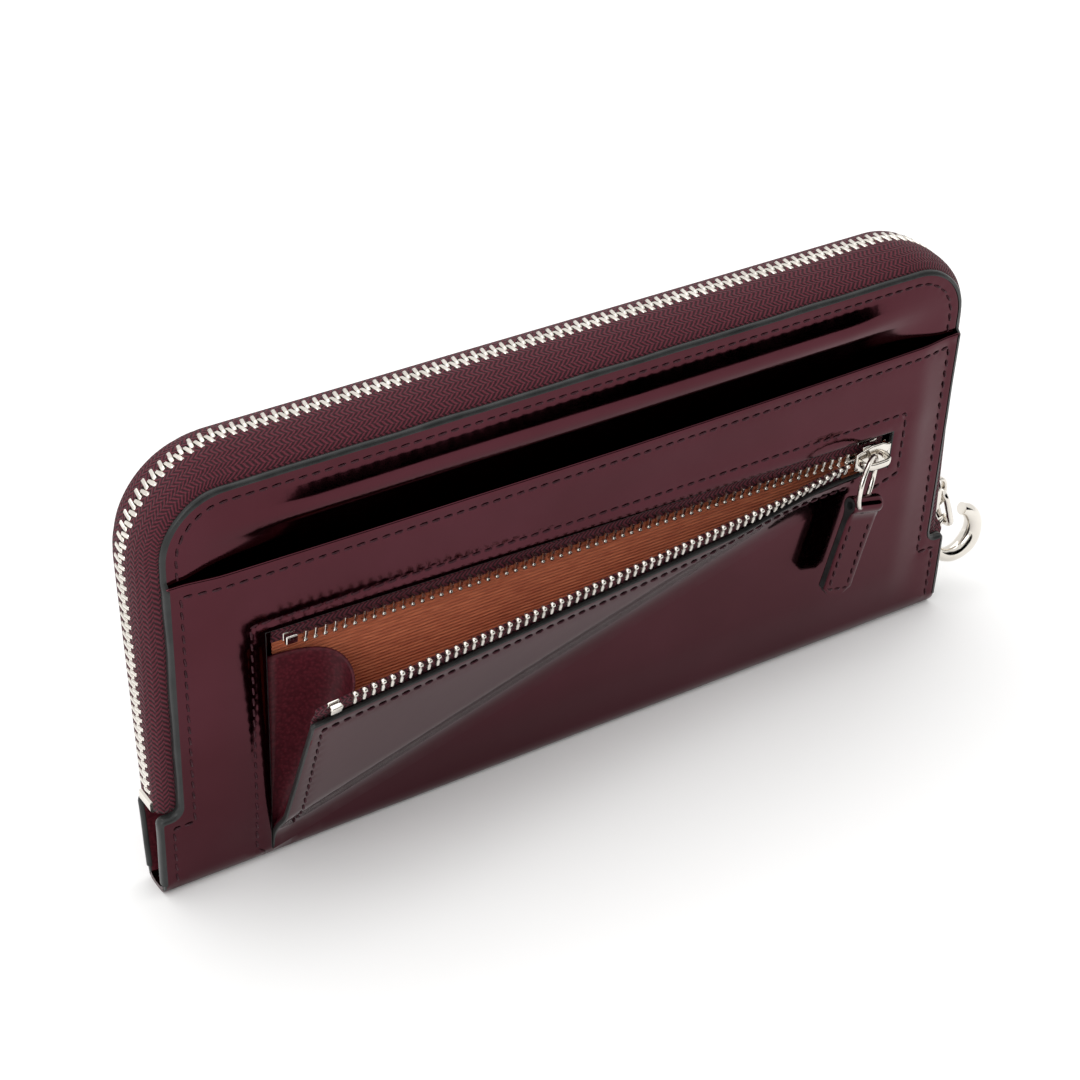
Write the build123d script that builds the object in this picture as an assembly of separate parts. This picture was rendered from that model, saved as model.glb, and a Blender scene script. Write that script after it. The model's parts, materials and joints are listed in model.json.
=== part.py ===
from build123d import *
import os
from math import atan, cos, hypot, pi, radians, sin, sqrt

# Long zip-around wallet, standing on its spine.
# X runs along its length, -Y is the front, +Z is up.
# The origin is the centre of the spine's underside. Millimetres.

# ---------------------------------------------------------------- driving sizes
LENGTH = 196.0            # over the lower tabs
HEIGHT = 92.3             # top edge of the leather covers
TAB_HEIGHT = 19.7         # full-length lower tabs end here
TAB_STEP = 4.5            # each side steps in by this much above the tabs
CORNER_R = 13.0           # top corners of the covers
LEATHER = 1.2
LINING = 0.5
CLOTH = 0.3
TAPE = 0.5

RIDGE_HALF = 97.2         # main zip's teeth run round at this half-length
RIDGE_TOP = 96.8
RIDGE_R = 22.0
ZIP_START = 20.6          # lowest point of the main zip's tape
PITCH = 2.15              # between two teeth on one tape
TOOTH_THICK = 0.8
TOOTH_HIGH = 2.0
TOOTH_OUT = 2.1           # from the zip's centre line to a tooth's foot
TOOTH_IN = 0.55           # how far its head reaches past the centre line

SLOT_GAP = 2.0            # from the middle to each bank of card slots
LIP_HEIGHT = 75.0         # open upper edge of the slip pocket
COIN_SLIDER_X = 71.0      # coin pocket slider, at its open end
COIN_SLIDER_Z = 51.0
COIN_SLOPE = 0.02         # the coin zip climbs by this towards the left
COIN_OPEN_DEG = 20.0      # how far the flap stands open
LIP_DROP = 4.1            # flap's lip below the coin zip's centre line

HALF = LENGTH / 2
NECK = HALF - TAB_STEP
EDGE_BAND = 89.0          # outside this half-length the two front layers touch
FLAT_BAND = 80.0          # inside it the front layers are flat

# hinge line of the coin flap, as (x, z) on the front face
HINGE_LOW = (-73.2, 1.2)
HINGE_HIGH = (77.8, 46.4)


# ---------------------------------------------------------------- front surfaces
def base_edge_y(z):
    return -(3.4 + 0.08 * z)


def between(z, stations):
    """Straight-line value at height z from (height, value) stations."""
    for (z0, v0), (z1, v1) in zip(stations, stations[1:]):
        if z <= z1:
            return v0 + (v1 - v0) * (z - z0) / (z1 - z0)
    return stations[-1][1]


def base_middle_y(z):
    return between(z, [(0, -2.6), (45, -6.0), (60, -7.0), (75, -8.8), (HEIGHT, -10.75)])


def overlay_edge_y(z):
    return base_edge_y(z) - LEATHER


def overlay_middle_y(z):
    return between(z, [(0, -4.6), (60, -10.6), (LIP_HEIGHT, -15.6)])


def front_lining_y(z):
    return -(1.0 + 0.078 * z)


def rear_inner_y(z):
    return 2.7 + 0.047 * z


# ---------------------------------------------------------------- solid helpers
def prism_y(points, y0=-60.0, y1=60.0):
    """Solid with an outline in X and Z, between two values of Y."""
    face = make_face(Polyline(*[(x, y1, z) for x, z in points], close=True))
    return extrude(face, amount=y1 - y0, dir=(0, -1, 0))


def slab(x0, x1, z0, z1, face_y, thick):
    """Plate between two heights whose -Y face follows face_y(z)."""
    outline = [
        (x0, face_y(z0), z0),
        (x0, face_y(z1), z1),
        (x0, face_y(z1) + thick, z1),
        (x0, face_y(z0) + thick, z0),
    ]
    return extrude(make_face(Polyline(*outline, close=True)), amount=x1 - x0, dir=(1, 0, 0))


def ruled(sections):
    """Ruled loft through closed polygons that have the same number of corners."""
    return Solid.make_loft([Wire.make_polygon(s, close=True) for s in sections], ruled=True)


def cover_outline(height=HEIGHT):
    """Tool that cuts a cover: full-length tabs below, stepped in above, round top corners."""
    low = prism_y([(-HALF, 0), (HALF, 0), (HALF, TAB_HEIGHT), (-HALF, TAB_HEIGHT)])
    high = prism_y([(-NECK, 0), (NECK, 0), (NECK, height), (-NECK, height)])
    if height == HEIGHT:
        top_corners = high.edges().filter_by(Axis.Y).sort_by(Axis.Z)[-2:]
        high = fillet(top_corners, CORNER_R)
    return low + high


def dished_sheet(heights, edge_y, middle_y, thick):
    """Leather sheet whose middle stands off its edges, ruled between the heights."""
    sections = []
    for z in heights:
        e, m = edge_y(z), middle_y(z)
        outer = [(-HALF, e), (-EDGE_BAND, e), (-FLAT_BAND, m), (FLAT_BAND, m), (EDGE_BAND, e), (HALF, e)]
        inner = [(x, y + thick) for x, y in reversed(outer)]
        sections.append([(x, y, z) for x, y in outer + inner])
    return ruled(sections)


def join(solids):
    return Compound(children=[s for item in solids for s in item.solids()])


# ---------------------------------------------------------------- coin pocket frame
FRONT_SLOPE = (10.6 - 4.6) / 60.0
FRONT_TILT = atan(FRONT_SLOPE)
UP_FACE = Vector(0, -sin(FRONT_TILT), cos(FRONT_TILT))
OUT_FACE = Vector(0, -cos(FRONT_TILT), -sin(FRONT_TILT))
FACE_ORIGIN = Vector(0, overlay_middle_y(COIN_SLIDER_Z), COIN_SLIDER_Z)
ZIP_LINE = atan(COIN_SLOPE)


def on_face(x, v, w=0.0):
    """Point from its place along X, up the front face, and out of it."""
    return FACE_ORIGIN + Vector(x, 0, 0) + UP_FACE * v + OUT_FACE * w


def at_height(x, z, w=0.0):
    """Point on the front face at a height above the ground."""
    return on_face(x, (z - COIN_SLIDER_Z) / cos(FRONT_TILT), w)


def face_plate(corners, w0, w1):
    """Plate over (x, z) corners on the front face, between two depths."""
    low = make_face(Polyline(*[at_height(x, z, w0) for x, z in corners], close=True))
    return extrude(low, amount=w1 - w0, dir=OUT_FACE)


# the coin zip's own plane: its x runs along the zip, y up the face, z out of it
ZIP_ALONG = Vector(cos(ZIP_LINE), 0, 0) - UP_FACE * sin(ZIP_LINE)
COIN_DEPTH = -0.7         # teeth's mid-plane, below the front face
COIN_ZIP = Plane(
    origin=on_face(COIN_SLIDER_X, 0, COIN_DEPTH), x_dir=ZIP_ALONG, z_dir=OUT_FACE
)

HINGE_A = at_height(*HINGE_LOW, -LEATHER / 2)
HINGE_B = at_height(*HINGE_HIGH, -LEATHER / 2)
HINGE_AXIS = Axis(HINGE_A, HINGE_B - HINGE_A)


def opened(shape):
    """Coin flap's pieces, turned from shut to where they stand open."""
    return shape.rotate(HINGE_AXIS, COIN_OPEN_DEG)


def opened_point(point):
    axis = (HINGE_B - HINGE_A).normalized()
    arm = point - HINGE_A
    turn = radians(COIN_OPEN_DEG)
    along = axis * (axis.dot(arm) * (1 - cos(turn)))
    return HINGE_A + arm * cos(turn) + axis.cross(arm) * sin(turn) + along


# ---------------------------------------------------------------- main zip's line
SIDE_RUN = RIDGE_TOP - RIDGE_R - ZIP_START
ARC_RUN = RIDGE_R * pi / 2
TOP_RUN = 2 * (RIDGE_HALF - RIDGE_R)
ZIP_RUN = 2 * SIDE_RUN + 2 * ARC_RUN + TOP_RUN


def round_frame(run, half, top, r, start):
    """Place, direction and outward normal after a run along an arch with round corners."""
    side, arc, across = top - r - start, r * pi / 2, 2 * (half - r)
    if run <= side:
        return (-half, start + run), (0, 1), (-1, 0)
    run -= side
    if run <= arc:
        a = run / r
        n = (-cos(a), sin(a))
        return (-half + r + r * n[0], top - r + r * n[1]), (sin(a), cos(a)), n
    run -= arc
    if run <= across:
        return (-half + r + run, top), (1, 0), (0, 1)
    run -= across
    if run <= arc:
        a = run / r
        n = (sin(a), cos(a))
        return (half - r + r * n[0], top - r + r * n[1]), (cos(a), -sin(a)), n
    return (half, top - r - (run - arc)), (0, -1), (1, 0)


def ridge_frame(run):
    return round_frame(run, RIDGE_HALF, RIDGE_TOP, RIDGE_R, ZIP_START)


def tooth_row(first, last, side, shift):
    """Teeth on one tape of the main zip: side -1 is the front tape, +1 the rear."""
    teeth = []
    low, high = sorted((side * TOOTH_OUT, -side * TOOTH_IN))
    run = first + shift
    while run <= last:
        (x, z), (tx, tz), (nx, nz) = ridge_frame(run)
        plane = Plane(origin=(x, (low + high) / 2, z), x_dir=(tx, 0, tz), z_dir=(nx, 0, nz))
        teeth.append(plane * Box(TOOTH_THICK, high - low, TOOTH_HIGH))
        run += PITCH
    return join(teeth)


def tape_stations():
    """Matching places on the leather's outline and on the zip's ridge."""
    stations = []

    def add(leather_xz, ridge_xz, normal):
        stations.append((leather_xz, ridge_xz, normal))

    lc = (NECK - CORNER_R, HEIGHT - CORNER_R)
    rc = (RIDGE_HALF - RIDGE_R, RIDGE_TOP - RIDGE_R)
    for z in (ZIP_START, 38.0, 56.0, 72.0):
        add((-NECK, z), (-RIDGE_HALF, z), (-1, 0))
    for k in range(7):
        a = radians(90 * k / 6)
        n = (-cos(a), sin(a))
        add((-lc[0] + CORNER_R * n[0], lc[1] + CORNER_R * n[1]),
            (-rc[0] + RIDGE_R * n[0], rc[1] + RIDGE_R * n[1]), n)
    for x in (-40.0, 0.0, 40.0):
        add((x, HEIGHT), (x, RIDGE_TOP), (0, 1))
    mirrored = [((-l[0], l[1]), (-r[0], r[1]), (-n[0], n[1])) for l, r, n in stations[:11]]
    return stations + mirrored[::-1]


def zip_tape(side, inner_y, left_start=ZIP_START):
    """Woven tape from behind the leather's edge, over to the main zip's teeth."""
    hidden, flat = 3.4, side * 4.0
    sections = []
    for (lx, lz), (rx, rz), (nx, nz) in tape_stations():
        if lx < 0:
            lz, rz = max(lz, left_start), max(rz, left_start)

        def behind(inset, depth):
            z = lz - inset * nz
            return (lx - inset * nx, inner_y(z) - side * depth, z)

        def ridge(y, lift):
            return (rx + lift * nx, y, rz + lift * nz)

        sections.append([
            behind(hidden, 0.06),
            behind(0.3, 0.06),
            ridge(flat, 0.25),
            ridge(side * 0.95, 0.25),
            ridge(side * 0.95, -0.25),
            ridge(flat - side * 0.3, -0.35),
            behind(0.8, 0.06 + TAPE),
            behind(hidden, 0.06 + TAPE),
        ])
    return ruled(sections)


# ---------------------------------------------------------------- covers and lining
def front_base_panel():
    sheet = dished_sheet([0, 45, 60, 75, HEIGHT], base_edge_y, base_middle_y, LEATHER)
    return sheet & cover_outline()


def coin_window():
    """Cut in the overlay: the zip's window and the flap's three-sided opening."""
    gap = 0.35
    dx, dz = HINGE_HIGH[0] - HINGE_LOW[0], HINGE_HIGH[1] - HINGE_LOW[1]
    size = hypot(dx, dz)
    ox, oz = gap * dz / size, -gap * dx / size
    return prism_y([
        (-74.8, 57.6),
        (78.1, 55.7),
        (78.1, HINGE_HIGH[1] + oz),
        (HINGE_LOW[0] + ox, HINGE_LOW[1] + oz),
        (-74.8, HINGE_LOW[1] + oz),
    ])


def front_overlay():
    sheet = dished_sheet([0, 60, LIP_HEIGHT], overlay_edge_y, overlay_middle_y, LEATHER)
    return (sheet & cover_outline(height=LIP_HEIGHT)) - coin_window()


def rear_panel():
    sheet = slab(-HALF, HALF, 0.8, HEIGHT, rear_inner_y, LEATHER)
    return sheet & cover_outline()


def spine():
    strip = Box(LENGTH - 3.0, 3.4, 2.6, align=(Align.CENTER, Align.MIN, Align.MIN))
    return Pos(0, -1.1, 0) * strip


def centre_divider():
    half, low, high, thick = 79.0, 5.0, 82.0, 0.6
    return Pos(0, -thick / 2, (low + high) / 2) * Box(2 * half, thick, high - low)


def card_slots(x0, x1, face_y, step):
    """Four stepped card slots, each a strip laid over the one above it."""
    strips = []
    for k, (low, high) in enumerate([(64, 78), (55, 70), (46, 62), (30, 54)]):
        def strip_y(z, k=k):
            return face_y(z) + step * k
        strips.append(slab(x0, x1, low, high, strip_y, abs(step) - 0.05))
    return join(strips)


def front_slot_y(z):
    return front_lining_y(z) + LINING + 0.05


def rear_slot_y(z):
    return rear_inner_y(z) - LINING - 1.1


def rear_lining_y(z):
    return rear_inner_y(z) - LINING - 0.05


def side_gusset(side):
    """Folded leather fan that joins the two covers at one end of the wallet."""
    sections = []
    for z in (12.0, 66.0):
        front = front_lining_y(z) - 0.2
        rear = rear_inner_y(z) - 0.3
        middle = (front + rear) / 2
        outer = [(88.6, front), (86.8 - 0.08 * z, middle), (88.6, rear)]
        inner = [(x - 0.7, y) for x, y in reversed(outer)]
        sections.append([(side * x, y, z) for x, y in outer + inner])
    return ruled(sections)


# ---------------------------------------------------------------- coin pocket
def zip_z(x):
    """Height of the coin zip's centre line at x."""
    return COIN_SLIDER_Z + COIN_SLOPE * (COIN_SLIDER_X - x)


def flap_corners(inset=0.0):
    """Flap outline when shut: low corner, top left corner, right end of its lip."""
    gap = 0.4 + inset
    dx, dz = HINGE_HIGH[0] - HINGE_LOW[0], HINGE_HIGH[1] - HINGE_LOW[1]
    size = hypot(dx, dz)
    ox, oz = -gap * dz / size, gap * dx / size
    left = -74.2 + inset
    low = HINGE_LOW[1] + oz + (left - HINGE_LOW[0] - ox) * dz / dx
    right = HINGE_HIGH[0] - 1.6 - 6 * inset
    return [
        (left, max(low, 2.2)),
        (left, zip_z(left) - LIP_DROP - inset),
        (right, zip_z(right) - LIP_DROP - inset),
        (right, HINGE_HIGH[1] + oz - (HINGE_HIGH[0] + ox - right) * dz / dx),
        (left + 2.5, max(low, 2.2) + 0.2),
    ]


def coin_flap():
    return opened(face_plate(flap_corners(), -LEATHER, 0))


def coin_flap_lining():
    plate = face_plate(flap_corners(inset=3.5), -LEATHER - 0.05 - CLOTH, -LEATHER - 0.05)
    return opened(plate)


def back_lining_y(z):
    return base_middle_y(z) - CLOTH


def coin_back_lining():
    low = slab(-72.0, 76.0, 3.0, 45.0, back_lining_y, CLOTH)
    high = slab(-72.0, 76.0, 45.0, 56.0, back_lining_y, CLOTH)
    return low + high


def coin_tape(low, high, x0, x1):
    """Strip of zip tape behind the leather, beside the coin zip's teeth."""
    strip = Box(x1 - x0, high - low, TAPE)
    middle = ((x0 + x1) / 2 - COIN_SLIDER_X, (low + high) / 2, -0.52 - TAPE / 2)
    return COIN_ZIP * (Pos(*middle) * strip)


def coin_teeth(side, first, last, shift):
    teeth = []
    low, high = sorted((side * TOOTH_OUT, -side * TOOTH_IN))
    x = first + shift
    while x <= last:
        place = Pos(x - COIN_SLIDER_X, (low + high) / 2, 0)
        teeth.append(COIN_ZIP * (place * Box(TOOTH_THICK, high - low, TOOTH_HIGH)))
        x += PITCH
    return join(teeth)


def coin_clip(side):
    """Small bent metal stop clamped over the end of one tape."""
    place = Pos(-69.3 - COIN_SLIDER_X, side * 1.3, 0)
    block = fillet(Box(2.6, 2.0, 2.0).edges().filter_by(Axis.X), 0.5)
    return COIN_ZIP * (place * block)


def coin_end_stop():
    block = fillet(Box(1.2, 4.0, 2.0).edges().filter_by(Axis.X), 0.5)
    return COIN_ZIP * (Pos(5.6, 0, 0) * block)


def coin_gusset():
    """Leather fold between the overlay's cut edge and the flap's left edge."""
    sections = []
    for z, reach in ((6.0, 1.2), (44.0, 12.0)):
        back = at_height(-73.6, z, -LEATHER - 0.5)
        edge = opened_point(at_height(-72.9, z, -LEATHER - 0.5)) - OUT_FACE * 0.25
        apex = (back + edge) * 0.5 + Vector(reach, 0, 0)
        legs = [back, apex, edge]
        inner = [p + Vector(0.6, 0, 0) for p in reversed(legs)]
        sections.append([tuple(p) for p in legs + inner])
    return ruled(sections)


# ---------------------------------------------------------------- zip sliders
def slider_body(long, wide, slot_low, slot_high):
    """Two plates with turned-in flanges, joined by the wedge that parts the teeth.

    Local x runs along the zip, with the wedge at its low end, where the teeth are apart.
    The tapes leave through the slot between the two heights.
    """
    plate, channel, flange = 0.9, 2.2, 0.7
    outline = fillet(Rectangle(long, wide).vertices(), 1.6)
    top = Pos(0, 0, channel / 2) * extrude(outline, amount=plate)
    bottom = Pos(0, 0, -channel / 2 - plate) * extrude(outline, amount=plate)
    body = top + bottom
    for low, high in ((-channel / 2, slot_low), (slot_high, channel / 2)):
        if high > low:
            rail = Box(long - 3.4, flange, high - low)
            for y in (-1, 1):
                body += Pos(0, y * (wide - flange) / 2, (low + high) / 2) * rail
    wedge = Box(2.4, 1.0, channel)
    return body + Pos(1.7 - long / 2, 0, 0) * wedge


def slider_bridge(long, high, wide):
    """Arch over a slider that its puller hangs from, standing on z = 0."""
    outer = Box(long, wide, high, align=(Align.CENTER, Align.CENTER, Align.MIN))
    outer = fillet(outer.edges().filter_by(Axis.Y).sort_by(Axis.Z)[-2:], high * 0.55)
    hole = Box(long - 2.4, wide + 2, high - 1.0, align=(Align.CENTER, Align.CENTER, Align.MIN))
    hole = fillet(hole.edges().filter_by(Axis.Y).sort_by(Axis.Z)[-2:], high * 0.4)
    return outer - hole


COIN_BODY_LONG = 9.0
COIN_BODY_WIDE = 6.8
BODY_TOP = 2.0            # outer face of a slider above the teeth's mid-plane
RING_R = 5.8
RING_WIRE = 0.55
RING_TURN = 35.0          # angle between the coin ring and the front face
RING_DROP = 2.0           # how far its centre hangs below the bridge
RING_LIFT = 1.2           # wire's centre above the slider in the bridge

MAIN_SLIDER_Z = 27.4
MAIN_BODY_LONG = 9.6
MAIN_BODY_WIDE = 6.8
MAIN_ZIP = Plane(origin=(RIDGE_HALF, 0, MAIN_SLIDER_Z), x_dir=(0, 0, 1), z_dir=(1, 0, 0))


def coin_slider():
    return COIN_ZIP * slider_body(COIN_BODY_LONG, COIN_BODY_WIDE, -1.1, -0.35)


def coin_slider_bridge():
    return COIN_ZIP * (Pos(0, 0, BODY_TOP) * slider_bridge(7.2, 3.4, 1.5))


def coin_ring_frame():
    """Plane of the coin zip's wire ring: x away from the bridge, y up the face."""
    turn = radians(RING_TURN)
    away = ZIP_ALONG * -cos(turn) + OUT_FACE * sin(turn)
    up = OUT_FACE.cross(ZIP_ALONG)
    reach = sqrt(RING_R ** 2 - RING_DROP ** 2)
    pivot = COIN_ZIP.origin + OUT_FACE * (BODY_TOP + RING_LIFT)
    centre = pivot + away * reach - up * RING_DROP
    return Plane(origin=centre, x_dir=away, z_dir=away.cross(up)), pivot, away, up


def coin_ring():
    plane = coin_ring_frame()[0]
    return plane * Torus(RING_R, RING_WIRE)


TAB_WIDE = 8.0
TAB_LONG = 23.0
TAB_THICK = 2.2
TAB_LEAN = 12.0           # the tab hangs this far to the left of straight down the face
TAB_SWING = 38.0          # it lifts this far off the face
EYE_SWING = 50.0          # its eye is opened this far for the ring, both ways


def coin_pull_tab():
    """Leather tab folded round the wire ring, its lower corners cut off.

    The eye is opened by the ring's own shape over the tab's whole swing.
    """
    ring_plane, _, away, up = coin_ring_frame()
    eye = ring_plane.origin - up * RING_R
    across = ZIP_ALONG * cos(radians(TAB_LEAN)) - up * sin(radians(TAB_LEAN))
    hang = Plane(origin=eye, x_dir=across, z_dir=OUT_FACE)
    loop_r, eye_r, cut = 2.1, 0.95, 1.8
    half = TAB_WIDE / 2
    outline = Polyline(
        (-half, 0), (half, 0), (half, -TAB_LONG + cut), (half - cut, -TAB_LONG),
        (-half + cut, -TAB_LONG), (-half, -TAB_LONG + cut), close=True,
    )
    strap = Pos(0, 0, -TAB_THICK / 2) * extrude(make_face(outline), amount=TAB_THICK)
    loop = Rot(0, 90, 0) * Cylinder(loop_r, TAB_WIDE)
    tab = hang * (strap + loop)
    room = ring_plane * Torus(RING_R, eye_r)
    swing_axis = Axis(eye, away)
    for k in range(5):
        tab = tab - room.rotate(swing_axis, EYE_SWING * k / 4)
        tab = tab - room.rotate(swing_axis, -EYE_SWING * k / 4)
    return tab


def main_slider():
    return MAIN_ZIP * slider_body(MAIN_BODY_LONG, MAIN_BODY_WIDE, -0.5, 0.5)


def main_slider_bridge():
    return MAIN_ZIP * (Pos(0, 0, BODY_TOP) * slider_bridge(7.6, 4.0, 1.6))


# The link's wire passes through the bridge and hangs; the hoop hangs from the link.
LINK_PIVOT = (RIDGE_HALF + BODY_TOP + 2.0, 0, MAIN_SLIDER_Z + 0.4)
LINK_LEAN = 16.0          # the link hangs this far out from straight down
LINK_WIRE = 0.75
LINK_END_R = 2.2
LINK_STRAIGHT = 5.8
HOOP_R = 6.0
HOOP_LEAN = 32.0          # the hoop's centre lies this far out from below its link
HOOP_GAP = 0.15


def stadium_path(r, straight):
    """Long round-ended loop in the XY plane, its top end's middle at the origin."""
    top, low = -r, -r - straight
    right = Line((r, top), (r, low))
    bottom = ThreePointArc((r, low), (0, low - r), (-r, low))
    left = Line((-r, low), (-r, top))
    cap = ThreePointArc((-r, top), (0, 0), (r, top))
    return Wire([right, bottom, left, cap])


def main_link():
    path = stadium_path(LINK_END_R, LINK_STRAIGHT)
    start = Plane(origin=(LINK_END_R, -LINK_END_R, 0), z_dir=(0, -1, 0))
    loop = sweep(start * Circle(LINK_WIRE), path=path)
    lean = radians(LINK_LEAN)
    down = Vector(sin(lean), 0, -cos(lean))
    plane = Plane(origin=LINK_PIVOT, x_dir=(0, 1, 0), z_dir=Vector(0, 1, 0).cross(-down))
    return plane * loop


def hoop_pivot():
    lean = radians(LINK_LEAN)
    reach = 2 * LINK_END_R + LINK_STRAIGHT
    x, _, z = LINK_PIVOT
    return Vector(x + reach * sin(lean), 0, z - reach * cos(lean))


def hoop_thickness(turn):
    """Radius of the hoop's section at an angle clockwise from its top."""
    return between(turn, [(52, 1.5), (100, 2.0), (160, 2.4), (210, 2.0), (280, 1.2), (366, 0.65)])


def main_hoop():
    """Crescent puller: thin where it hangs from the link, heavy round to a blunt end."""
    sections = []
    first, last, count = 52.0, 366.0, 14
    for k in range(count + 1):
        turn = first + (last - first) * k / count
        a = radians(turn)
        centre = Vector(HOOP_R * sin(a), 0, HOOP_R * cos(a) - HOOP_R)
        section = Plane(origin=centre, x_dir=(0, 1, 0), z_dir=(cos(a), 0, -sin(a)))
        sections.append(section * Circle(hoop_thickness(turn)))
    lean = radians(LINK_LEAN)
    lift = LINK_WIRE + hoop_thickness(360) + HOOP_GAP
    top = hoop_pivot() + Vector(-sin(lean), 0, cos(lean)) * lift
    return Pos(*top) * (Rot(0, -HOOP_LEAN, 0) * loft(sections))


def main_bottom_stop():
    block = fillet(Box(2.6, 5.2, 2.6).edges().filter_by(Axis.Y), 0.7)
    return Pos(-RIDGE_HALF, 0, ZIP_START + 1.0) * block


def top_stop(side):
    block = fillet(Box(2.2, 1.9, 1.6).edges().filter_by(Axis.Y), 0.5)
    return Pos(RIDGE_HALF, side * 1.5, ZIP_START + 0.9) * block


# ---------------------------------------------------------------- write the pieces
CHAIN_FIRST = 4.0                              # runs along the ridge, from the left end
CHAIN_LAST = ZIP_RUN - (MAIN_SLIDER_Z + MAIN_BODY_LONG / 2 - ZIP_START) - 0.8
COIN_FIRST = -66.0
COIN_LAST = COIN_SLIDER_X - COIN_BODY_LONG / 2 - 0.9


def front_inner_y(z):
    """Back of the front base panel beside the zip."""
    outer = base_edge_y(z)
    if z > LIP_HEIGHT:
        outer = max(outer, base_middle_y(z))
    return outer + LEATHER


def pieces():
    yield "spine", spine()
    yield "front_base_panel", front_base_panel()
    yield "front_overlay", front_overlay()
    yield "front_lining", slab(-86, 86, 5, 86, front_lining_y, LINING)
    yield "front_card_slots_left", card_slots(-84, -SLOT_GAP, front_slot_y, 0.5)
    yield "front_card_slots_right", card_slots(SLOT_GAP, 84, front_slot_y, 0.5)
    yield "centre_divider", centre_divider()
    yield "front_tape", zip_tape(-1, front_inner_y)
    yield "front_teeth", tooth_row(CHAIN_FIRST, CHAIN_LAST, -1, 0)
    yield "main_bottom_stop", main_bottom_stop()
    yield "front_top_stop", top_stop(-1)
    yield "rear_panel", rear_panel()
    yield "rear_lining", slab(-86, 86, 5, 86, rear_lining_y, LINING)
    yield "rear_card_slots_left", card_slots(-84, -SLOT_GAP, rear_slot_y, -0.5)
    yield "rear_card_slots_right", card_slots(SLOT_GAP, 84, rear_slot_y, -0.5)
    yield "rear_tape", zip_tape(1, rear_inner_y, left_start=23.4)
    yield "rear_teeth", tooth_row(CHAIN_FIRST, CHAIN_LAST, 1, PITCH / 2)
    yield "rear_top_stop", top_stop(1)
    yield "left_gusset", side_gusset(-1)
    yield "right_gusset", side_gusset(1)
    yield "coin_back_lining", coin_back_lining()
    yield "coin_upper_tape", coin_tape(0.9, 8.0, -73.0, 75.5)
    yield "coin_upper_teeth", coin_teeth(1, COIN_FIRST, COIN_LAST, 0)
    yield "coin_upper_clip", coin_clip(1)
    yield "coin_end_stop", coin_end_stop()
    yield "coin_flap", coin_flap()
    yield "coin_flap_lining", coin_flap_lining()
    yield "coin_lower_tape", opened(coin_tape(-7.4, -0.9, -73.0, 62.0))
    yield "coin_lower_teeth", opened(coin_teeth(-1, COIN_FIRST, COIN_LAST - 3, PITCH / 2))
    yield "coin_lower_clip", opened(coin_clip(-1))
    yield "coin_gusset", coin_gusset()
    yield "coin_slider", coin_slider()
    yield "coin_slider_bridge", coin_slider_bridge()
    yield "coin_ring", coin_ring()
    yield "coin_pull_tab", coin_pull_tab()
    yield "main_slider", main_slider()
    yield "main_slider_bridge", main_slider_bridge()
    yield "main_link", main_link()
    yield "main_hoop", main_hoop()


os.makedirs("parts", exist_ok=True)
for name, shape in pieces():
    shape.label = name
    export_step(shape, os.path.join("parts", name + ".step"))
    box = shape.bounding_box()
    print(name, len(shape.solids()), [round(v, 2) for v in (*box.min, *box.max)])
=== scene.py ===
import json
import math
import random

import bpy
import numpy as np
from mathutils import Matrix, Vector
from mathutils.geometry import delaunay_2d_cdt


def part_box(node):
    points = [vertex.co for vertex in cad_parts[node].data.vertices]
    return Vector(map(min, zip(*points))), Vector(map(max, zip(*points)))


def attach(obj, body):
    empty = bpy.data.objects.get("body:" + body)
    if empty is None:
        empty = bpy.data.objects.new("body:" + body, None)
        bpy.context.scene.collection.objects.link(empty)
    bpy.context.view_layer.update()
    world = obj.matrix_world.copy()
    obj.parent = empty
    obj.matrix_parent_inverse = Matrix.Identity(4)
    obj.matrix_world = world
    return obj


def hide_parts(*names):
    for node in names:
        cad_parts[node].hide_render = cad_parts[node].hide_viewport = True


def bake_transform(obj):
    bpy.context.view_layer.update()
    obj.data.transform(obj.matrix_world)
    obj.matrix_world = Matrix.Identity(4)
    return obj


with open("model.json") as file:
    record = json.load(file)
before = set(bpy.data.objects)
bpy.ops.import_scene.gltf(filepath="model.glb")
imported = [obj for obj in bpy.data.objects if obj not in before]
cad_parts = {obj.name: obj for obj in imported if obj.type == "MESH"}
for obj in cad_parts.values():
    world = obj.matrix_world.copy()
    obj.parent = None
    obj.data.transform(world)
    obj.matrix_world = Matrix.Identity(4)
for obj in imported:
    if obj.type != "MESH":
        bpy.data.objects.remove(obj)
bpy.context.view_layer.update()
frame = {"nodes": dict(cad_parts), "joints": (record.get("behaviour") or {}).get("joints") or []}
random.seed(7)

# Long zip-around wallet. Shapes are worked out in millimetres in the frame's own axes
# (X along the wallet, -Y the front, +Z up) and scaled to metres when a mesh is made.
MM = 0.001


def span(node):
    """Lowest and highest corner of a CAD node in millimetres."""
    low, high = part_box(node)
    return np.array(low) / MM, np.array(high) / MM


def joint(name):
    """A joint's place in millimetres and its axis."""
    found = next(j for j in frame["joints"] if j["name"] == name)
    place = np.array(found.get("pos_m", (0, 0, 0)), float) / MM
    axis = np.array(found["axis"], float)
    return place, axis / np.linalg.norm(axis)


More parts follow.
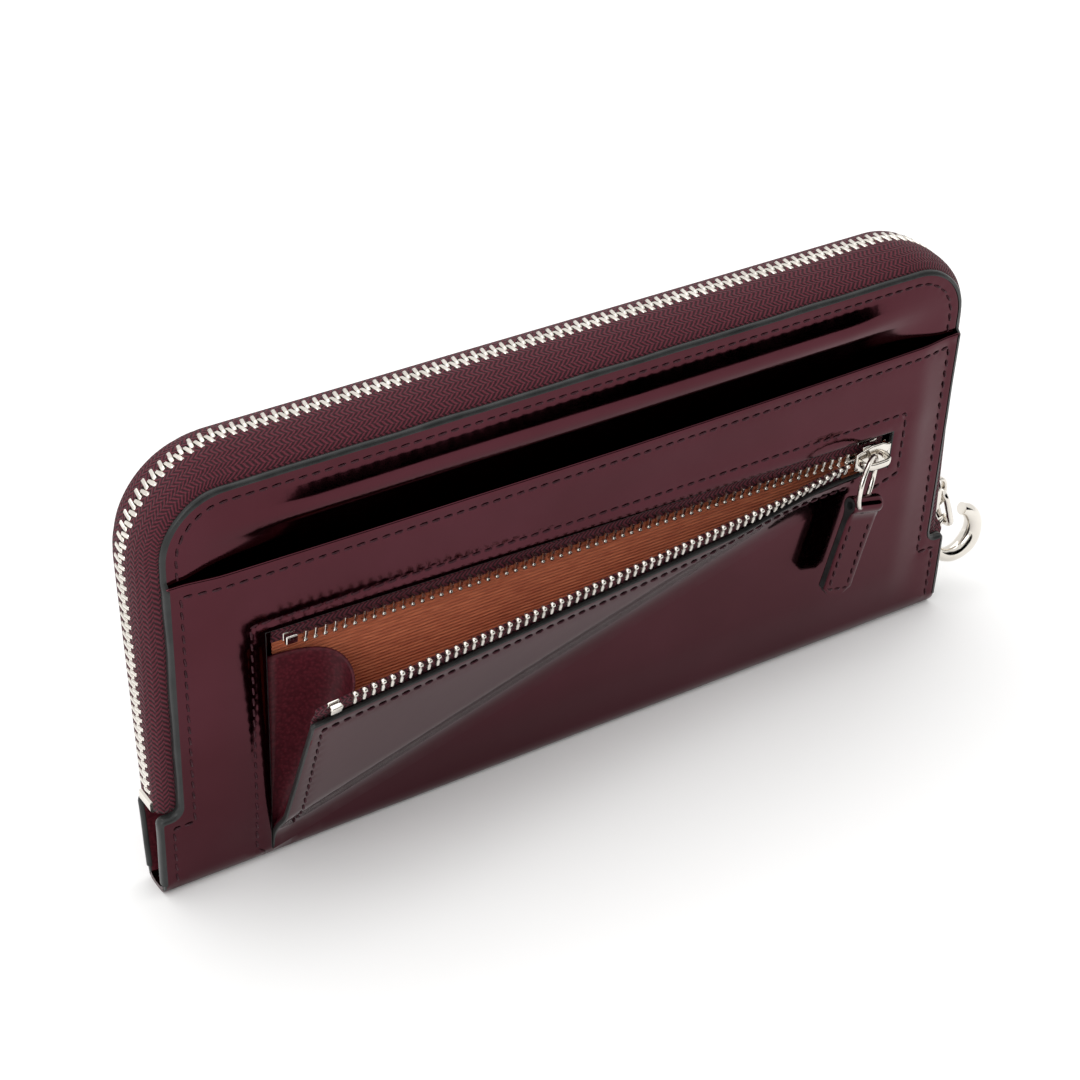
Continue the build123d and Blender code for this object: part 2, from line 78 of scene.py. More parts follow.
# ---------------------------------------------------------------- driving sizes
HALF = span("front_base_panel")[1][0]
HEIGHT = span("front_base_panel")[1][2]
LIP = span("front_overlay")[1][2]
TAB_STEP = 4.5
TAB_HEIGHT = 19.7
NECK = HALF - TAB_STEP
CORNER_R = 13.0
LEATHER = 1.2
SEAM_Z = 1.0              # the covers' outer leather joins the spine's here
ROLL_R = 3.2              # the front leather rolls under at its foot
FACE_FOOT = 4.6           # the front face stands this far forward at its foot
FACE_SLOPE = 0.1          # and leans out by this much per height
STEEP_Z = 57.0            # up to here, and by less above the coin zip's window
EDGE_LEAN = 0.08          # the same for the front leather's side edges,
INNER_LEAN = 0.078        # for the lining behind it,
REAR_LEAN = 0.047         # and for the rear cover
COIN_X, COIN_Z = 71.0, 51.0
ZIP_SLOPE = 0.02
LIP_DROP = 4.1
PITCH = 2.15              # between two teeth on one tape
WALE = 1.05               # width of one rib of zip tape
TAPE_THREAD = 1.1         # spacing of its slanted threads
TOOTH_OUT = 2.1
TAPE_THICK = 0.45
TAPE_EDGE = 0.75          # from the zip's middle to a tape's edge beside the teeth
RIDGE_TOP = 96.8
RIDGE_HALF = 97.2
RIDGE_R = 22.0
TAPE_FOOT = span("front_tape")[0][2]
SIDE_RUN = RIDGE_TOP - RIDGE_R - TAPE_FOOT      # runs along the ridge: up a side,
TURN_RUN = RIDGE_R * math.pi / 2                # round a corner,
TOP_RUN = 2 * (RIDGE_HALF - RIDGE_R)            # over the top,
RIDGE_RUN = 2 * (SIDE_RUN + TURN_RUN) + TOP_RUN  # and all of it
OPEN_ANGLE = math.radians(20.0)
BEND_REACH = 15.0         # width of the strip that the coin flap bends in

WINDOW_LEFT, WINDOW_RIGHT = -74.6, 76.6
WINDOW_TOP = 56.2
HINGE_LOW = np.array([-73.2, 1.2])
HINGE_HIGH = np.array([77.8, 46.4])
CUT_FOOT = np.array([-74.3, 2.2])


def zip_z(x):
    """Height of the coin zip's centre line."""
    return COIN_Z + ZIP_SLOPE * (COIN_X - x)


def hinge_z(x):
    """Height of the line that the coin flap bends along."""
    run = (x - HINGE_LOW[0]) / (HINGE_HIGH[0] - HINGE_LOW[0])
    return HINGE_LOW[1] + run * (HINGE_HIGH[1] - HINGE_LOW[1])


WINDOW_HEEL = np.array([WINDOW_RIGHT, hinge_z(WINDOW_RIGHT)])


# ---------------------------------------------------------------- surfaces
def ramp(value, low, high):
    """Smooth step from 0 at low to 1 at high."""
    t = np.clip((value - low) / (high - low), 0, 1)
    return t * t * (3 - 2 * t)


def bell(value, middle, width):
    return np.exp(-(((value - middle) / width) ** 2))


def softened(z, heights, values, reach=5.0):
    """Straight-line stations, rounded off by averaging over a reach."""
    offsets = np.linspace(-reach, reach, 7)
    return sum(np.interp(z + o, heights, values) for o in offsets) / len(offsets)


def waves(x, z, size=1.0):
    """Slight unevenness of soft leather."""
    slow = np.sin(0.043 * x + 0.9) * np.sin(0.065 * z + 0.4)
    quick = np.sin(0.11 * x - 0.05 * z + 2.0) * np.cos(0.09 * z + 0.02 * x)
    return size * (0.10 * slow + 0.045 * quick)


def foot_roll(z):
    """How far the leather has rolled under at its foot."""
    low = np.clip(ROLL_R - z, 0, ROLL_R)
    return ROLL_R - np.sqrt(np.maximum(ROLL_R ** 2 - low ** 2, 0))


def base_y(x, z):
    """Outer face of the front base panel."""
    edge = -(3.4 + EDGE_LEAN * z)
    middle = softened(z, [0, 45, 60, 75, 92.3], [-2.6, -6.0, -7.0, -8.8, -10.75])
    inside = 1 - ramp(np.abs(x), 76.0, 92.0)
    bulge = 1.75 * bell(z, 83.6, 3.4) * (1 - ramp(np.abs(x), 62.0, 91.0))
    return edge + (middle - edge) * inside - bulge + waves(x, z, 1.3)


def overlay_y(x, z):
    """Outer face of the front overlay and, when shut, of the coin flap."""
    edge = -(FACE_FOOT + EDGE_LEAN * z)
    face = -(FACE_FOOT + FACE_SLOPE * (np.minimum(z, STEEP_Z) + 0.4 * np.maximum(z - STEEP_Z, 0)))
    inside = 1 - ramp(np.abs(x), 82.0, 91.5)
    bow = 1.2 * ramp(z, 60.0, 78.0) * np.clip(1 - (x / 90.0) ** 2, 0, 1)
    pillow = 0.5 * inside * ramp(z, 4.0, 16.0)
    return edge + (face - edge) * inside - bow - pillow + foot_roll(z) + waves(x, z, 0.8)


def rear_y(x, z):
    """Outer face of the rear panel."""
    inside = (1 - ramp(np.abs(x), 78.0, 92.0)) * ramp(z, 6, 22) * (1 - ramp(z, 76, 90))
    return 3.9 + REAR_LEAN * z + 1.0 * inside - 0.6 * foot_roll(z) + waves(x + 40, z + 9, 1.2)


def y_at(surface, x, z):
    """A surface's Y at one place."""
    return float(surface(np.array([x]), np.array([z]))[0])


HINGE_PLACE, HINGE_AXIS = joint("coin_flap_fold")
OUT_FACE = np.array([0, -1, -FACE_SLOPE]) / math.hypot(1, FACE_SLOPE)
UP_FACE = np.array([0, -FACE_SLOPE, 1]) / math.hypot(1, FACE_SLOPE)
FLAP_UP = np.cross(OUT_FACE, HINGE_AXIS)
FLAP_UP *= np.sign(FLAP_UP[2])


def turned(points, place, axis, angle):
    """Points turned about an axis by an angle, or by one angle each."""
    p = points - place
    c, s = np.cos(angle)[..., None], np.sin(angle)[..., None]
    along = (p @ axis)[:, None] * axis
    return place + p * c + np.cross(axis, p) * s + along * (1 - c)


def flap_bend(points):
    """The coin flap's pieces, bent open from the flat front face."""
    reach = (points - HINGE_PLACE) @ FLAP_UP
    return turned(points, HINGE_PLACE, HINGE_AXIS, OPEN_ANGLE * ramp(reach, 0, BEND_REACH))


# ---------------------------------------------------------------- outlines
def arc(cx, cz, r, first, last, count=12):
    """Points on an arc in X and Z; angles in degrees from +X towards +Z."""
    turns = np.radians(np.linspace(first, last, count))
    return [(cx + r * math.cos(a), cz + r * math.sin(a)) for a in turns]


def cover_line(foot, top, corner):
    """Anticlockwise outline: tabs below, small inner corners, stepped in above."""
    nook = 2.4
    right = [(HALF, foot)]
    right += arc(HALF - 1.0, TAB_HEIGHT - 1.0, 1.0, 0, 90, 4)
    right += arc(NECK + nook, TAB_HEIGHT + nook, nook, 270, 180, 6)
    if corner:
        right += arc(NECK - corner, top - corner, corner, 0, 90, 14)
    else:
        right.append((NECK, top))
    left = [(-x, z) for x, z in reversed(right)]
    return [*right, *left]


def arch_line(inset, foot, top=HEIGHT, corner=CORNER_R):
    """Open line up one side, over the top and down the other, inside the cover's edge."""
    r = corner - inset
    x, z = NECK - corner, top - corner
    line = [(-NECK + inset, foot)] + arc(-x, z, r, 180, 90, 12)
    return line + arc(x, z, r, 90, 0, 12) + [(NECK - inset, foot)]


def divided(corners, step, closed=True):
    """Points no further apart than step along the straight runs between corners."""
    corners = np.array(corners, float)
    ends = np.roll(corners, -1, axis=0) if closed else corners[1:]
    points = []
    for a, b in zip(corners, ends):
        count = max(1, math.ceil(np.linalg.norm(b - a) / step))
        points += [a + (b - a) * k / count for k in range(count)]
    if not closed:
        points.append(corners[-1])
    return np.array(points)


def nearest(points, line):
    """Each point's distance from an open line, and how far along the line that is."""
    best = np.full(len(points), 1e9)
    along = np.zeros(len(points))
    run = 0.0
    for a, b in zip(line, line[1:]):
        d = b - a
        size = np.linalg.norm(d)
        t = np.clip((points - a) @ d / size ** 2, 0, 1)
        gap = np.linalg.norm(points - a - t[:, None] * d, axis=1)
        closer = gap < best
        best[closer] = gap[closer]
        along[closer] = run + t[closer] * size
        run += size
    return best, along


def contains(loop, points):
    """True for each point inside a closed loop."""
    x, z = points[:, 0], points[:, 1]
    inside = np.zeros(len(points), bool)
    for (x0, z0), (x1, z1) in zip(loop, np.roll(loop, -1, axis=0)):
        if z0 != z1:
            crosses = (z0 > z) != (z1 > z)
            inside ^= crosses & (x < (x1 - x0) * (z - z0) / (z1 - z0) + x0)
    return inside


# ---------------------------------------------------------------- meshes
def mesh_object(name, points, faces, materials, face_materials=None, sharp=None):
    """Object from points in millimetres, with smooth shading."""
    mesh = bpy.data.meshes.new(name)
    mesh.from_pydata((np.asarray(points, float) * MM).tolist(), [], faces)
    for m in materials:
        mesh.materials.append(m)
    if face_materials is not None:
        mesh.polygons.foreach_set("material_index", face_materials)
    mesh.polygons.foreach_set("use_smooth", [True] * len(mesh.polygons))
    if sharp:
        mesh.set_sharp_from_angle(angle=math.radians(sharp))
    mesh.validate()
    mesh.update()
    piece = bpy.data.objects.new(name, mesh)
    bpy.context.scene.collection.objects.link(piece)
    return piece


def outward(loop):
    """Mitred outward normal at each point of a loop that keeps its material on the left."""
    before = loop - np.roll(loop, 1, axis=0)
    after = np.roll(loop, -1, axis=0) - loop
    normals = []
    for d0, d1 in zip(before, after):
        n0 = np.array([d0[1], -d0[0]]) / np.linalg.norm(d0)
        n1 = np.array([d1[1], -d1[0]]) / np.linalg.norm(d1)
        n = n0 + n1
        n = n / max(np.linalg.norm(n), 1e-6)
        normals.append(n / max(float(n @ n0), 0.6))
    return np.array(normals)


EDGE_ROUND = 0.32
STITCH_PITCH = 2.7
STITCH_VALLEY = 0.14
ROW_STEP = 0.68                           # between points along a row of stitches
ROW_LANES = (0, 0.75, -0.75, 1.5, -1.5)   # lines of points beside the row
ROW_CLEAR = 2.1                           # the sheet's own grid stays this far from it
SLIVER = 2e-3                             # least doubled area of a triangle that is kept


def valley(points, lines):
    """How deep the leather is drawn in along rows of stitches."""
    depth = np.zeros(len(points))
    for line in lines:
        gap, along = nearest(points, np.array(line, float))
        wave = 0.75 + 0.25 * np.cos(2 * np.pi * along / STITCH_PITCH)
        depth = np.maximum(depth, STITCH_VALLEY * wave * np.exp(-((gap / 0.85) ** 2)))
    return depth


def within(loops, points):
    """True for each point inside the first loop and outside the holes that follow it."""
    inside = contains(loops[0], points)
    for hole in loops[1:]:
        inside &= ~contains(hole, points)
    return inside


def clear_of(points, loops, gap):
    """Points further than a gap from every closed loop."""
    for loop in loops:
        points = points[nearest(points, np.vstack([loop, loop[:1]]))[0] > gap]
    return points


def panel(name, loops, surface, out, thick, materials, lines=(), cell=1.7, is_open=None, warp=None):
    """Leather sheet over closed loops in X and Z, outer loop first, with rounded edges.

    surface gives the outer face's Y, out is -1 for a sheet that faces the front.
    Where is_open says so, the sheet is cut flush so that its neighbour goes on from it.
    """
    loops = [divided(loop, 1.0) for loop in loops]
    flats, opens = [], []
    for loop in loops:
        cut = is_open(loop) if is_open else np.zeros(len(loop), bool)
        flats.append(loop - outward(loop) * np.where(cut, 0, EDGE_ROUND)[:, None])
        opens.append(cut)
    low, high = loops[0].min(0), loops[0].max(0)
    xs = np.arange(low[0], high[0], cell)
    zs = np.arange(low[1], high[1], cell)
    grid = np.array([(x + (k % 2) * cell / 2, z) for k, z in enumerate(zs) for x in xs])
    grid = clear_of(grid[within(flats, grid)], flats, 0.55 * cell)
    extra = []
    for line in lines:
        line = np.array(line, float)
        grid = grid[nearest(grid, line)[0] > ROW_CLEAR]
        row = divided(line, ROW_STEP, closed=False)
        side = np.gradient(row, axis=0)
        side = np.stack([side[:, 1], -side[:, 0]], 1) / np.linalg.norm(side, axis=1)[:, None]
        extra += [row + reach * side for reach in ROW_LANES]
    points = [*flats, grid]
    if extra:
        extra = np.vstack(extra)
        points.append(clear_of(extra[within(flats, extra)], flats, 0.5))
    flat = np.vstack(points)
    edges, start = [], 0
    for loop in flats:
        n = len(loop)
        edges += [(start + k, start + (k + 1) % n) for k in range(n)]
        start += n
    found = delaunay_2d_cdt([Vector(p) for p in flat], edges, [], 0, 1e-4)
    plan = np.array([tuple(v) for v in found[0]])
    triangles = np.array([f for f in found[2] if len(f) == 3])
    triangles = triangles[within(flats, plan[triangles].mean(axis=1))]
    back_of = {source: k for k, sources in enumerate(found[3]) for source in sources}

    def placed(xz, depth, drawn=0.0):
        y = surface(xz[:, 0], xz[:, 1]) - out * (drawn + depth)
        return np.stack([xz[:, 0], y, xz[:, 1]], 1)

    drawn = valley(plan, lines) if len(lines) else np.zeros(len(plan))
    blocks = [placed(plan, 0.0, drawn), placed(plan, thick)]
    n = len(plan)
    a, b, c = plan[triangles[:, 0]], plan[triangles[:, 1]], plan[triangles[:, 2]]
    turn = (b[:, 0] - a[:, 0]) * (c[:, 1] - a[:, 1]) - (b[:, 1] - a[:, 1]) * (c[:, 0] - a[:, 0])
    wide = np.abs(turn) > SLIVER
    triangles, turn = triangles[wide], turn[wide]
    triangles[turn < 0] = triangles[turn < 0][:, ::-1]
    if out > 0:
        triangles = triangles[:, ::-1]
    faces = triangles.tolist() + (triangles[:, ::-1] + n).tolist()
    slots = [0] * len(triangles) + [2 if len(materials) > 2 else 0] * len(triangles)
    total = 2 * n
    profile = [(1 - math.sin(a), 1 - math.cos(a)) for a in (math.pi / 5, math.pi / 2.6)]
    rings = [(i * EDGE_ROUND, d * EDGE_ROUND) for i, d in profile] + [(0, EDGE_ROUND)]
    rings += [(i, thick - d) for i, d in reversed(rings)]
    start = 0
    for loop, flat_loop, cut in zip(loops, flats, opens):
        size = len(loop)
        ids = [[back_of[start + k] for k in range(size)]]
        inner = (loop - flat_loop) / EDGE_ROUND
        for inset, depth in rings:
            xz = loop - inner * inset
            blocks.append(placed(xz, depth))
            ids.append(list(range(total, total + size)))
            total += size
        ids.append([k + n for k in ids[0]])
        for upper, lower in zip(ids, ids[1:]):
            for k in range(size):
                j = (k + 1) % size
                if not (cut[k] and cut[j]):
                    quad = (upper[k], lower[k], lower[j], upper[j])
                    faces.append(quad if out < 0 else quad[::-1])
                    slots.append(1)
        start += size
    points = np.vstack(blocks)
    if warp:
        points = warp(points)
    return mesh_object(name, points, faces, materials, slots)


def ring_faces(rings, sides, closed=True, caps=True):
    """Faces between equal rows of points; closed joins each row's ends, caps close the tube."""
    faces = []
    for i in range(rings - 1):
        for j in range(sides if closed else sides - 1):
            k = (j + 1) % sides
            faces.append((i * sides + j, i * sides + k, (i + 1) * sides + k, (i + 1) * sides + j))
    if caps:
        faces.append(tuple(range(sides))[::-1])
        faces.append(tuple((rings - 1) * sides + j for j in range(sides)))
    return faces


def grid_object(name, rows, materials, uv=None, closed=False, caps=False, sharp=None):
    """Mesh through a grid of points; closed joins each row's last point to its first."""
    rows = np.array(rows, float)
    faces = ring_faces(*rows.shape[:2], closed, caps)
    piece = mesh_object(name, rows.reshape(-1, 3), faces, materials, sharp=sharp)
    if uv is not None:
        flat = np.array(uv, float).reshape(-1, 2)
        layer = piece.data.uv_layers.new(name="weave")
        index = np.zeros(len(piece.data.loops), int)
        piece.data.loops.foreach_get("vertex_index", index)
        layer.data.foreach_set("uv", flat[index].ravel())
    return piece


def solidify(piece, thick, offset=-1.0):
    """Gives a sheet a thickness that its mesh keeps as a modifier."""
    solid = piece.modifiers.new("thickness", "SOLIDIFY")
    solid.thickness = thick * MM
    solid.offset = offset
    return piece


def many(name, blocks, faces, materials, sharp=None):
    """One mesh out of equal blocks of points that share one list of faces."""
    size = len(blocks[0])
    every = [tuple(i + k * size for i in f) for k in range(len(blocks)) for f in faces]
    return mesh_object(name, np.vstack(blocks), every, materials, sharp=sharp)


# Along one stitch: (place from -1 to 1, share of its thickness, lift off the leather).
THREAD_SHAPE = ((-1, 0.2, -0.2), (-0.72, 0.85, 0.1), (0, 1, 0.2), (0.72, 0.85, 0.1), (1, 0.2, -0.2))


def stitches(name, lines, surface, out, material, warp=None, deep=STITCH_VALLEY, pitch=STITCH_PITCH):
    """Rows of short thread bars that dip into the leather at both ends."""
    sides = 6
    blocks = []
    for line in lines:
        row = divided(line, 0.4, closed=False)
        steps = np.linalg.norm(np.diff(row, axis=0), axis=1)
        run = np.concatenate([[0], np.cumsum(steps)])
        count = max(1, round(run[-1] / pitch))

        def at(s, row=row, run=run):
            return np.array([np.interp(s, run, row[:, 0]), np.interp(s, run, row[:, 1])])

        for k in range(count):
            centre = (k + 0.5) * run[-1] / count
            half = 0.39 * pitch * random.uniform(0.92, 1.06)
            block = []
            for t, size, lift in THREAD_SHAPE:
                s = centre + half * t
                tangent = at(s + 0.1) - at(s - 0.1)
                tangent = tangent / max(np.linalg.norm(tangent), 1e-9)
                skew = 0.10 * t
                x, z = at(s) + np.array([-tangent[1], tangent[0]]) * skew
                y = y_at(surface, x, z) - out * (deep * 0.8 - lift)
                for j in range(sides):
                    a = 2 * math.pi * j / sides
                    across, rise = 0.25 * size * math.cos(a), 0.22 * size * math.sin(a)
                    block.append((x - tangent[1] * across, y + out * rise, z + tangent[0] * across))
            blocks.append(np.array(block))
    faces = ring_faces(len(THREAD_SHAPE), sides)
    blocks = [warp(b) for b in blocks] if warp else blocks
    return many(name, blocks, faces, [material])


class Place:
    """A flat frame: millimetres along x, y and z from an origin."""

    def __init__(self, origin, x, y, z):
        self.origin = np.array(origin, float)
        self.axes = np.array([x, y, z], float)

    def __call__(self, points):
        return self.origin + np.asarray(points, float) @ self.axes


def slab_in(place, name, outline, low, high, material, bevel=0.25):
    """Plate over an outline in a frame, with its edges rounded over."""
    count = len(outline)
    points = [(x, y, low) for x, y in outline] + [(x, y, high) for x, y in outline]
    faces = [tuple(range(count))[::-1], tuple(range(count, 2 * count))]
    for k in range(count):
        j = (k + 1) % count
        faces.append((k, j, count + j, count + k))
    piece = mesh_object(name, place(points), faces, [material], sharp=40)
    round_over = piece.modifiers.new("rounded", "BEVEL")
    round_over.width = bevel * MM
    round_over.segments = 3
    round_over.limit_method = "ANGLE"
    round_over.angle_limit = math.radians(35)
    round_over.harden_normals = True
    return piece


def joined(name, pieces):
    """One object out of several, with their modifiers applied."""
    graph = bpy.context.evaluated_depsgraph_get()
    materials, points, faces, slots = [], [], [], []
    for piece in pieces:
        mesh = piece.evaluated_get(graph).to_mesh()
        start = len(points)
        points += [tuple(v.co) for v in mesh.vertices]
        for p in mesh.polygons:
            faces.append([start + i for i in p.vertices])
            m = mesh.materials[p.material_index]
            if m.name not in [k.name for k in materials]:
                materials.append(bpy.data.materials[m.name])
            slots.append([k.name for k in materials].index(m.name))
        piece.evaluated_get(graph).to_mesh_clear()
        bpy.data.objects.remove(piece)
    return mesh_object(name, np.array(points) / MM, faces, materials, slots, sharp=40)


# ---------------------------------------------------------------- materials
class Nodes:
    """A new material's node tree, with short ways to add what the finishes share."""

    def __init__(self, name, color, rough, metallic=0.0, coat=0.0):
        self.material = bpy.data.materials.new(name)
        self.material.use_nodes = True
        self.tree = self.material.node_tree
        self.shader = self.tree.nodes["Principled BSDF"]
        self.shader.inputs["Base Color"].default_value = (*color, 1)
        self.shader.inputs["Roughness"].default_value = rough
        self.shader.inputs["Metallic"].default_value = metallic
        self.shader.inputs["Coat Weight"].default_value = coat
        self.shader.inputs["Coat Roughness"].default_value = 0.05
        self.shader.inputs["Specular IOR Level"].default_value = 0.22
        self.height = None
        self.material.diffuse_color = (*color, 1)

    def add(self, kind, **settings):
        node = self.tree.nodes.new("ShaderNode" + kind)
        for key, value in settings.items():
            setattr(node, key, value)
        return node

    def link(self, source, target):
        self.tree.links.new(source, target)

    def place(self, stretch=(1, 1, 1)):
        """Position on the object in metres, stretched."""
        where = self.add("TexCoord")
        mapping = self.add("Mapping")
        mapping.inputs["Scale"].default_value = stretch
        self.link(where.outputs["Object"], mapping.inputs["Vector"])
        return mapping.outputs["Vector"]

    def noise(self, scale, detail=3.0, stretch=(1, 1, 1)):
        node = self.add("TexNoise")
        node.inputs["Scale"].default_value = scale
        node.inputs["Detail"].default_value = detail
        self.link(self.place(stretch), node.inputs["Vector"])
        return node.outputs["Fac"]

    def cells(self, scale):
        node = self.add("TexVoronoi", feature="SMOOTH_F1")
        node.inputs["Scale"].default_value = scale
        self.link(self.place(), node.inputs["Vector"])
        return node.outputs["Distance"]

    def math(self, operation, a, b=0.0):
        node = self.add("Math", operation=operation)
        for socket, value in zip(node.inputs, (a, b)):
            if isinstance(value, (int, float)):
                socket.default_value = value
            else:
                self.link(value, socket)
        return node.outputs[0]

    def colors(self, factor, stops):
        """Colour of the surface from a factor, between stops of (place, colour)."""
        node = self.add("ValToRGB")
        elements = node.color_ramp.elements
        while len(elements) < len(stops):
            elements.new(0.5)
        for element, (place, color) in zip(elements, stops):
            element.position = place
            element.color = (*color, 1)
        self.link(factor, node.inputs[0])
        self.link(node.outputs[0], self.shader.inputs["Base Color"])

    def roughness(self, factor, low, high):
        node = self.add("MapRange")
        node.inputs["To Min"].default_value = low
        node.inputs["To Max"].default_value = high
        self.link(factor, node.inputs["Value"])
        self.link(node.outputs[0], self.shader.inputs["Roughness"])

    def bump(self, height, strength, distance):
        """Adds relief, on top of any that is there already."""
        node = self.add("Bump")
        node.inputs["Strength"].default_value = strength
        node.inputs["Distance"].default_value = distance * MM
        self.link(height, node.inputs["Height"])
        if self.height:
            self.link(self.height, node.inputs["Normal"])
        self.height = node.outputs[0]
        self.link(self.height, self.shader.inputs["Normal"])


def patent_leather():
    """Mirror-glazed burgundy leather."""
    m = Nodes("patent_leather", (0.062, 0.016, 0.022), 0.09, metallic=1.0, coat=0.06)
    m.colors(m.noise(45.0), [(0.3, (0.066, 0.017, 0.023)), (0.7, (0.078, 0.021, 0.029))])
    m.roughness(m.noise(160.0, 4.0), 0.06, 0.16)
    m.bump(m.noise(110.0, 2.0), 0.25, 0.12)
    m.bump(m.noise(900.0, 3.0), 0.08, 0.05)
    return m.material


def painted_edge():
    """Thick dark grey edge paint."""
    m = Nodes("painted_edge", (0.020, 0.021, 0.021), 0.34, coat=0.12)
    m.colors(m.noise(220.0), [(0.3, (0.014, 0.015, 0.015)), (0.7, (0.028, 0.029, 0.029))])
    m.bump(m.noise(420.0), 0.4, 0.12)
    return m.material


def grained_leather():
    """Matt burgundy leather with a fine grain, for the gussets and card slots."""
    m = Nodes("grained_leather", (0.115, 0.018, 0.026), 0.52)
    grain = m.cells(1500.0)
    m.colors(grain, [(0.1, (0.100, 0.012, 0.020)), (0.6, (0.055, 0.006, 0.011))])
    m.roughness(m.noise(300.0), 0.42, 0.62)
    m.bump(grain, 0.5, 0.12)
    m.bump(m.noise(500.0), 0.3, 0.1)
    return m.material


def grosgrain(name, low, high):
    """Ribbed lining cloth: fine threads run along its ribs."""
    m = Nodes(name, high, 0.62)
    m.shader.inputs["Sheen Weight"].default_value = 0.25
    threads = m.noise(260.0, 4.0, (1, 1, 14))
    m.colors(threads, [(0.3, low), (0.7, high)])
    m.bump(threads, 0.5, 0.08)
    m.bump(m.noise(2600.0), 0.3, 0.04)
    return m.material


def zip_cloth():
    """Herringbone zip tape: slanted threads whose slant turns from one wale to the next, with painted shade
    in the weave's valleys and a painted highlight on the threads' tops.
    """
    m = Nodes("zip_cloth", (0.05, 0.008, 0.013), 0.72)
    m.shader.inputs["Sheen Weight"].default_value = 0.06
    uv = m.add("UVMap", uv_map="weave")
    split = m.add("SeparateXYZ")
    m.link(uv.outputs[0], split.inputs[0])
    column = m.math("FLOOR", m.math("DIVIDE", split.outputs[1], WALE))
    flip = m.math("SUBTRACT", m.math("MULTIPLY", m.math("PINGPONG", column, 1.0), 2.0), 1.0)
    slant = m.math("MULTIPLY", flip, split.outputs[1])
    phase = m.math("MULTIPLY", m.math("ADD", split.outputs[0], slant), 2 * math.pi / TAPE_THREAD)
    height = m.math("ADD", m.math("MULTIPLY", m.math("SINE", phase), 0.5), 0.5)
    fuzz = m.math("MULTIPLY", m.noise(1500.0), 0.25)
    relief_and_painted_shade = m.math("ADD", m.math("MULTIPLY", height, 0.75), fuzz)
    # Colour follows the weave's height, with random tone from the noise: painted shade in the valleys
    # between threads, painted highlight on the thread tops.
    m.colors(relief_and_painted_shade, [(0.15, (0.018, 0.002, 0.005)), (0.6, (0.070, 0.008, 0.016)),
                     (0.95, (0.120, 0.017, 0.030))])
    m.bump(relief_and_painted_shade, 0.8, 0.28)
    return m.material


def sewing_thread():
    m = Nodes("sewing_thread", (0.035, 0.007, 0.012), 0.5)
    strands = m.noise(1800.0)
    m.colors(strands, [(0.3, (0.018, 0.003, 0.006)), (0.7, (0.060, 0.014, 0.022))])
    m.bump(strands, 0.6, 0.06)
    return m.material


def nickel(name, rough):
    m = Nodes(name, (0.78, 0.74, 0.68), rough, metallic=1.0)
    m.colors(m.noise(90.0), [(0.3, (0.70, 0.66, 0.60)), (0.7, (0.84, 0.80, 0.74))])
    m.roughness(m.noise(400.0, 5.0), rough * 0.7, rough * 1.6)
    m.bump(m.noise(700.0, 4.0), 0.05, 0.04)
    return m.material


PATENT = patent_leather()
PAINT = painted_edge()
GRAINED = grained_leather()
COPPER_CLOTH = grosgrain("copper_grosgrain", (0.42, 0.10, 0.045), (0.62, 0.18, 0.08))
DARK_CLOTH = grosgrain("burgundy_grosgrain", (0.070, 0.012, 0.018), (0.13, 0.026, 0.034))
TAPE_CLOTH = zip_cloth()
THREAD = sewing_thread()
TOOTH_METAL = nickel("tooth_metal", 0.22)
BRIGHT_METAL = nickel("bright_metal", 0.12)


# ---------------------------------------------------------------- putting pieces on bodies
def fit(piece, body, slot, *nodes):
    """A piece that rides on one body and stands for CAD nodes; the slot argument is not used."""
    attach(piece, body)
    if nodes:
        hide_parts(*nodes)
    return piece


FLAP_START = HINGE_PLACE * MM
FLAP_END = (HINGE_PLACE + FLAP_UP * BEND_REACH) * MM


def fit_flap(piece, slot, *nodes, start=FLAP_START, end=FLAP_END):
    """A piece of the coin flap: its transform goes into its mesh, and the CAD nodes it stands for are
    hidden.
    """
    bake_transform(piece)
    if nodes:
        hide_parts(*nodes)
    return piece


# ---------------------------------------------------------------- covers
LINE_INSET = 2.7
FRAME_GAP = 3.2
SLIP_ROW = 72.2
TAB_ROW = 17.2


def neck_rows(foot, top):
    """Stitch rows up both sides of a cover between two heights."""
    x = NECK - LINE_INSET
    return [np.array([(s * x, foot), (s * x, top)]) for s in (-1, 1)]


def tab_rows():
    """Stitch rows round the lower tabs."""
    outer, inner = HALF - LINE_INSET, NECK - LINE_INSET
    return [np.array([(s * inner, TAB_ROW), (s * outer, TAB_ROW), (s * outer, 3.0)]) for s in (-1, 1)]


def frame_rows():
    """Stitch row round the coin zip's window, and beside the flap's cut edge."""
    left, right = WINDOW_LEFT - FRAME_GAP, WINDOW_RIGHT + FRAME_GAP
    top = WINDOW_TOP + 3.9
    up = [(left + 2, 1.9), (left, 4.0), (left, top + 1.3)]
    return [np.array(up + [(right, top - 0.8), (right, 43.8), (right - 7, 41.6)])]


def on_seam(points):
    """True on the line where the flap's leather goes on from the overlay's."""
    gap = nearest(points, np.array([CUT_FOOT, WINDOW_HEEL]))[0]
    return (gap < 1e-3) | (points[:, 1] < SEAM_Z + 1e-3)


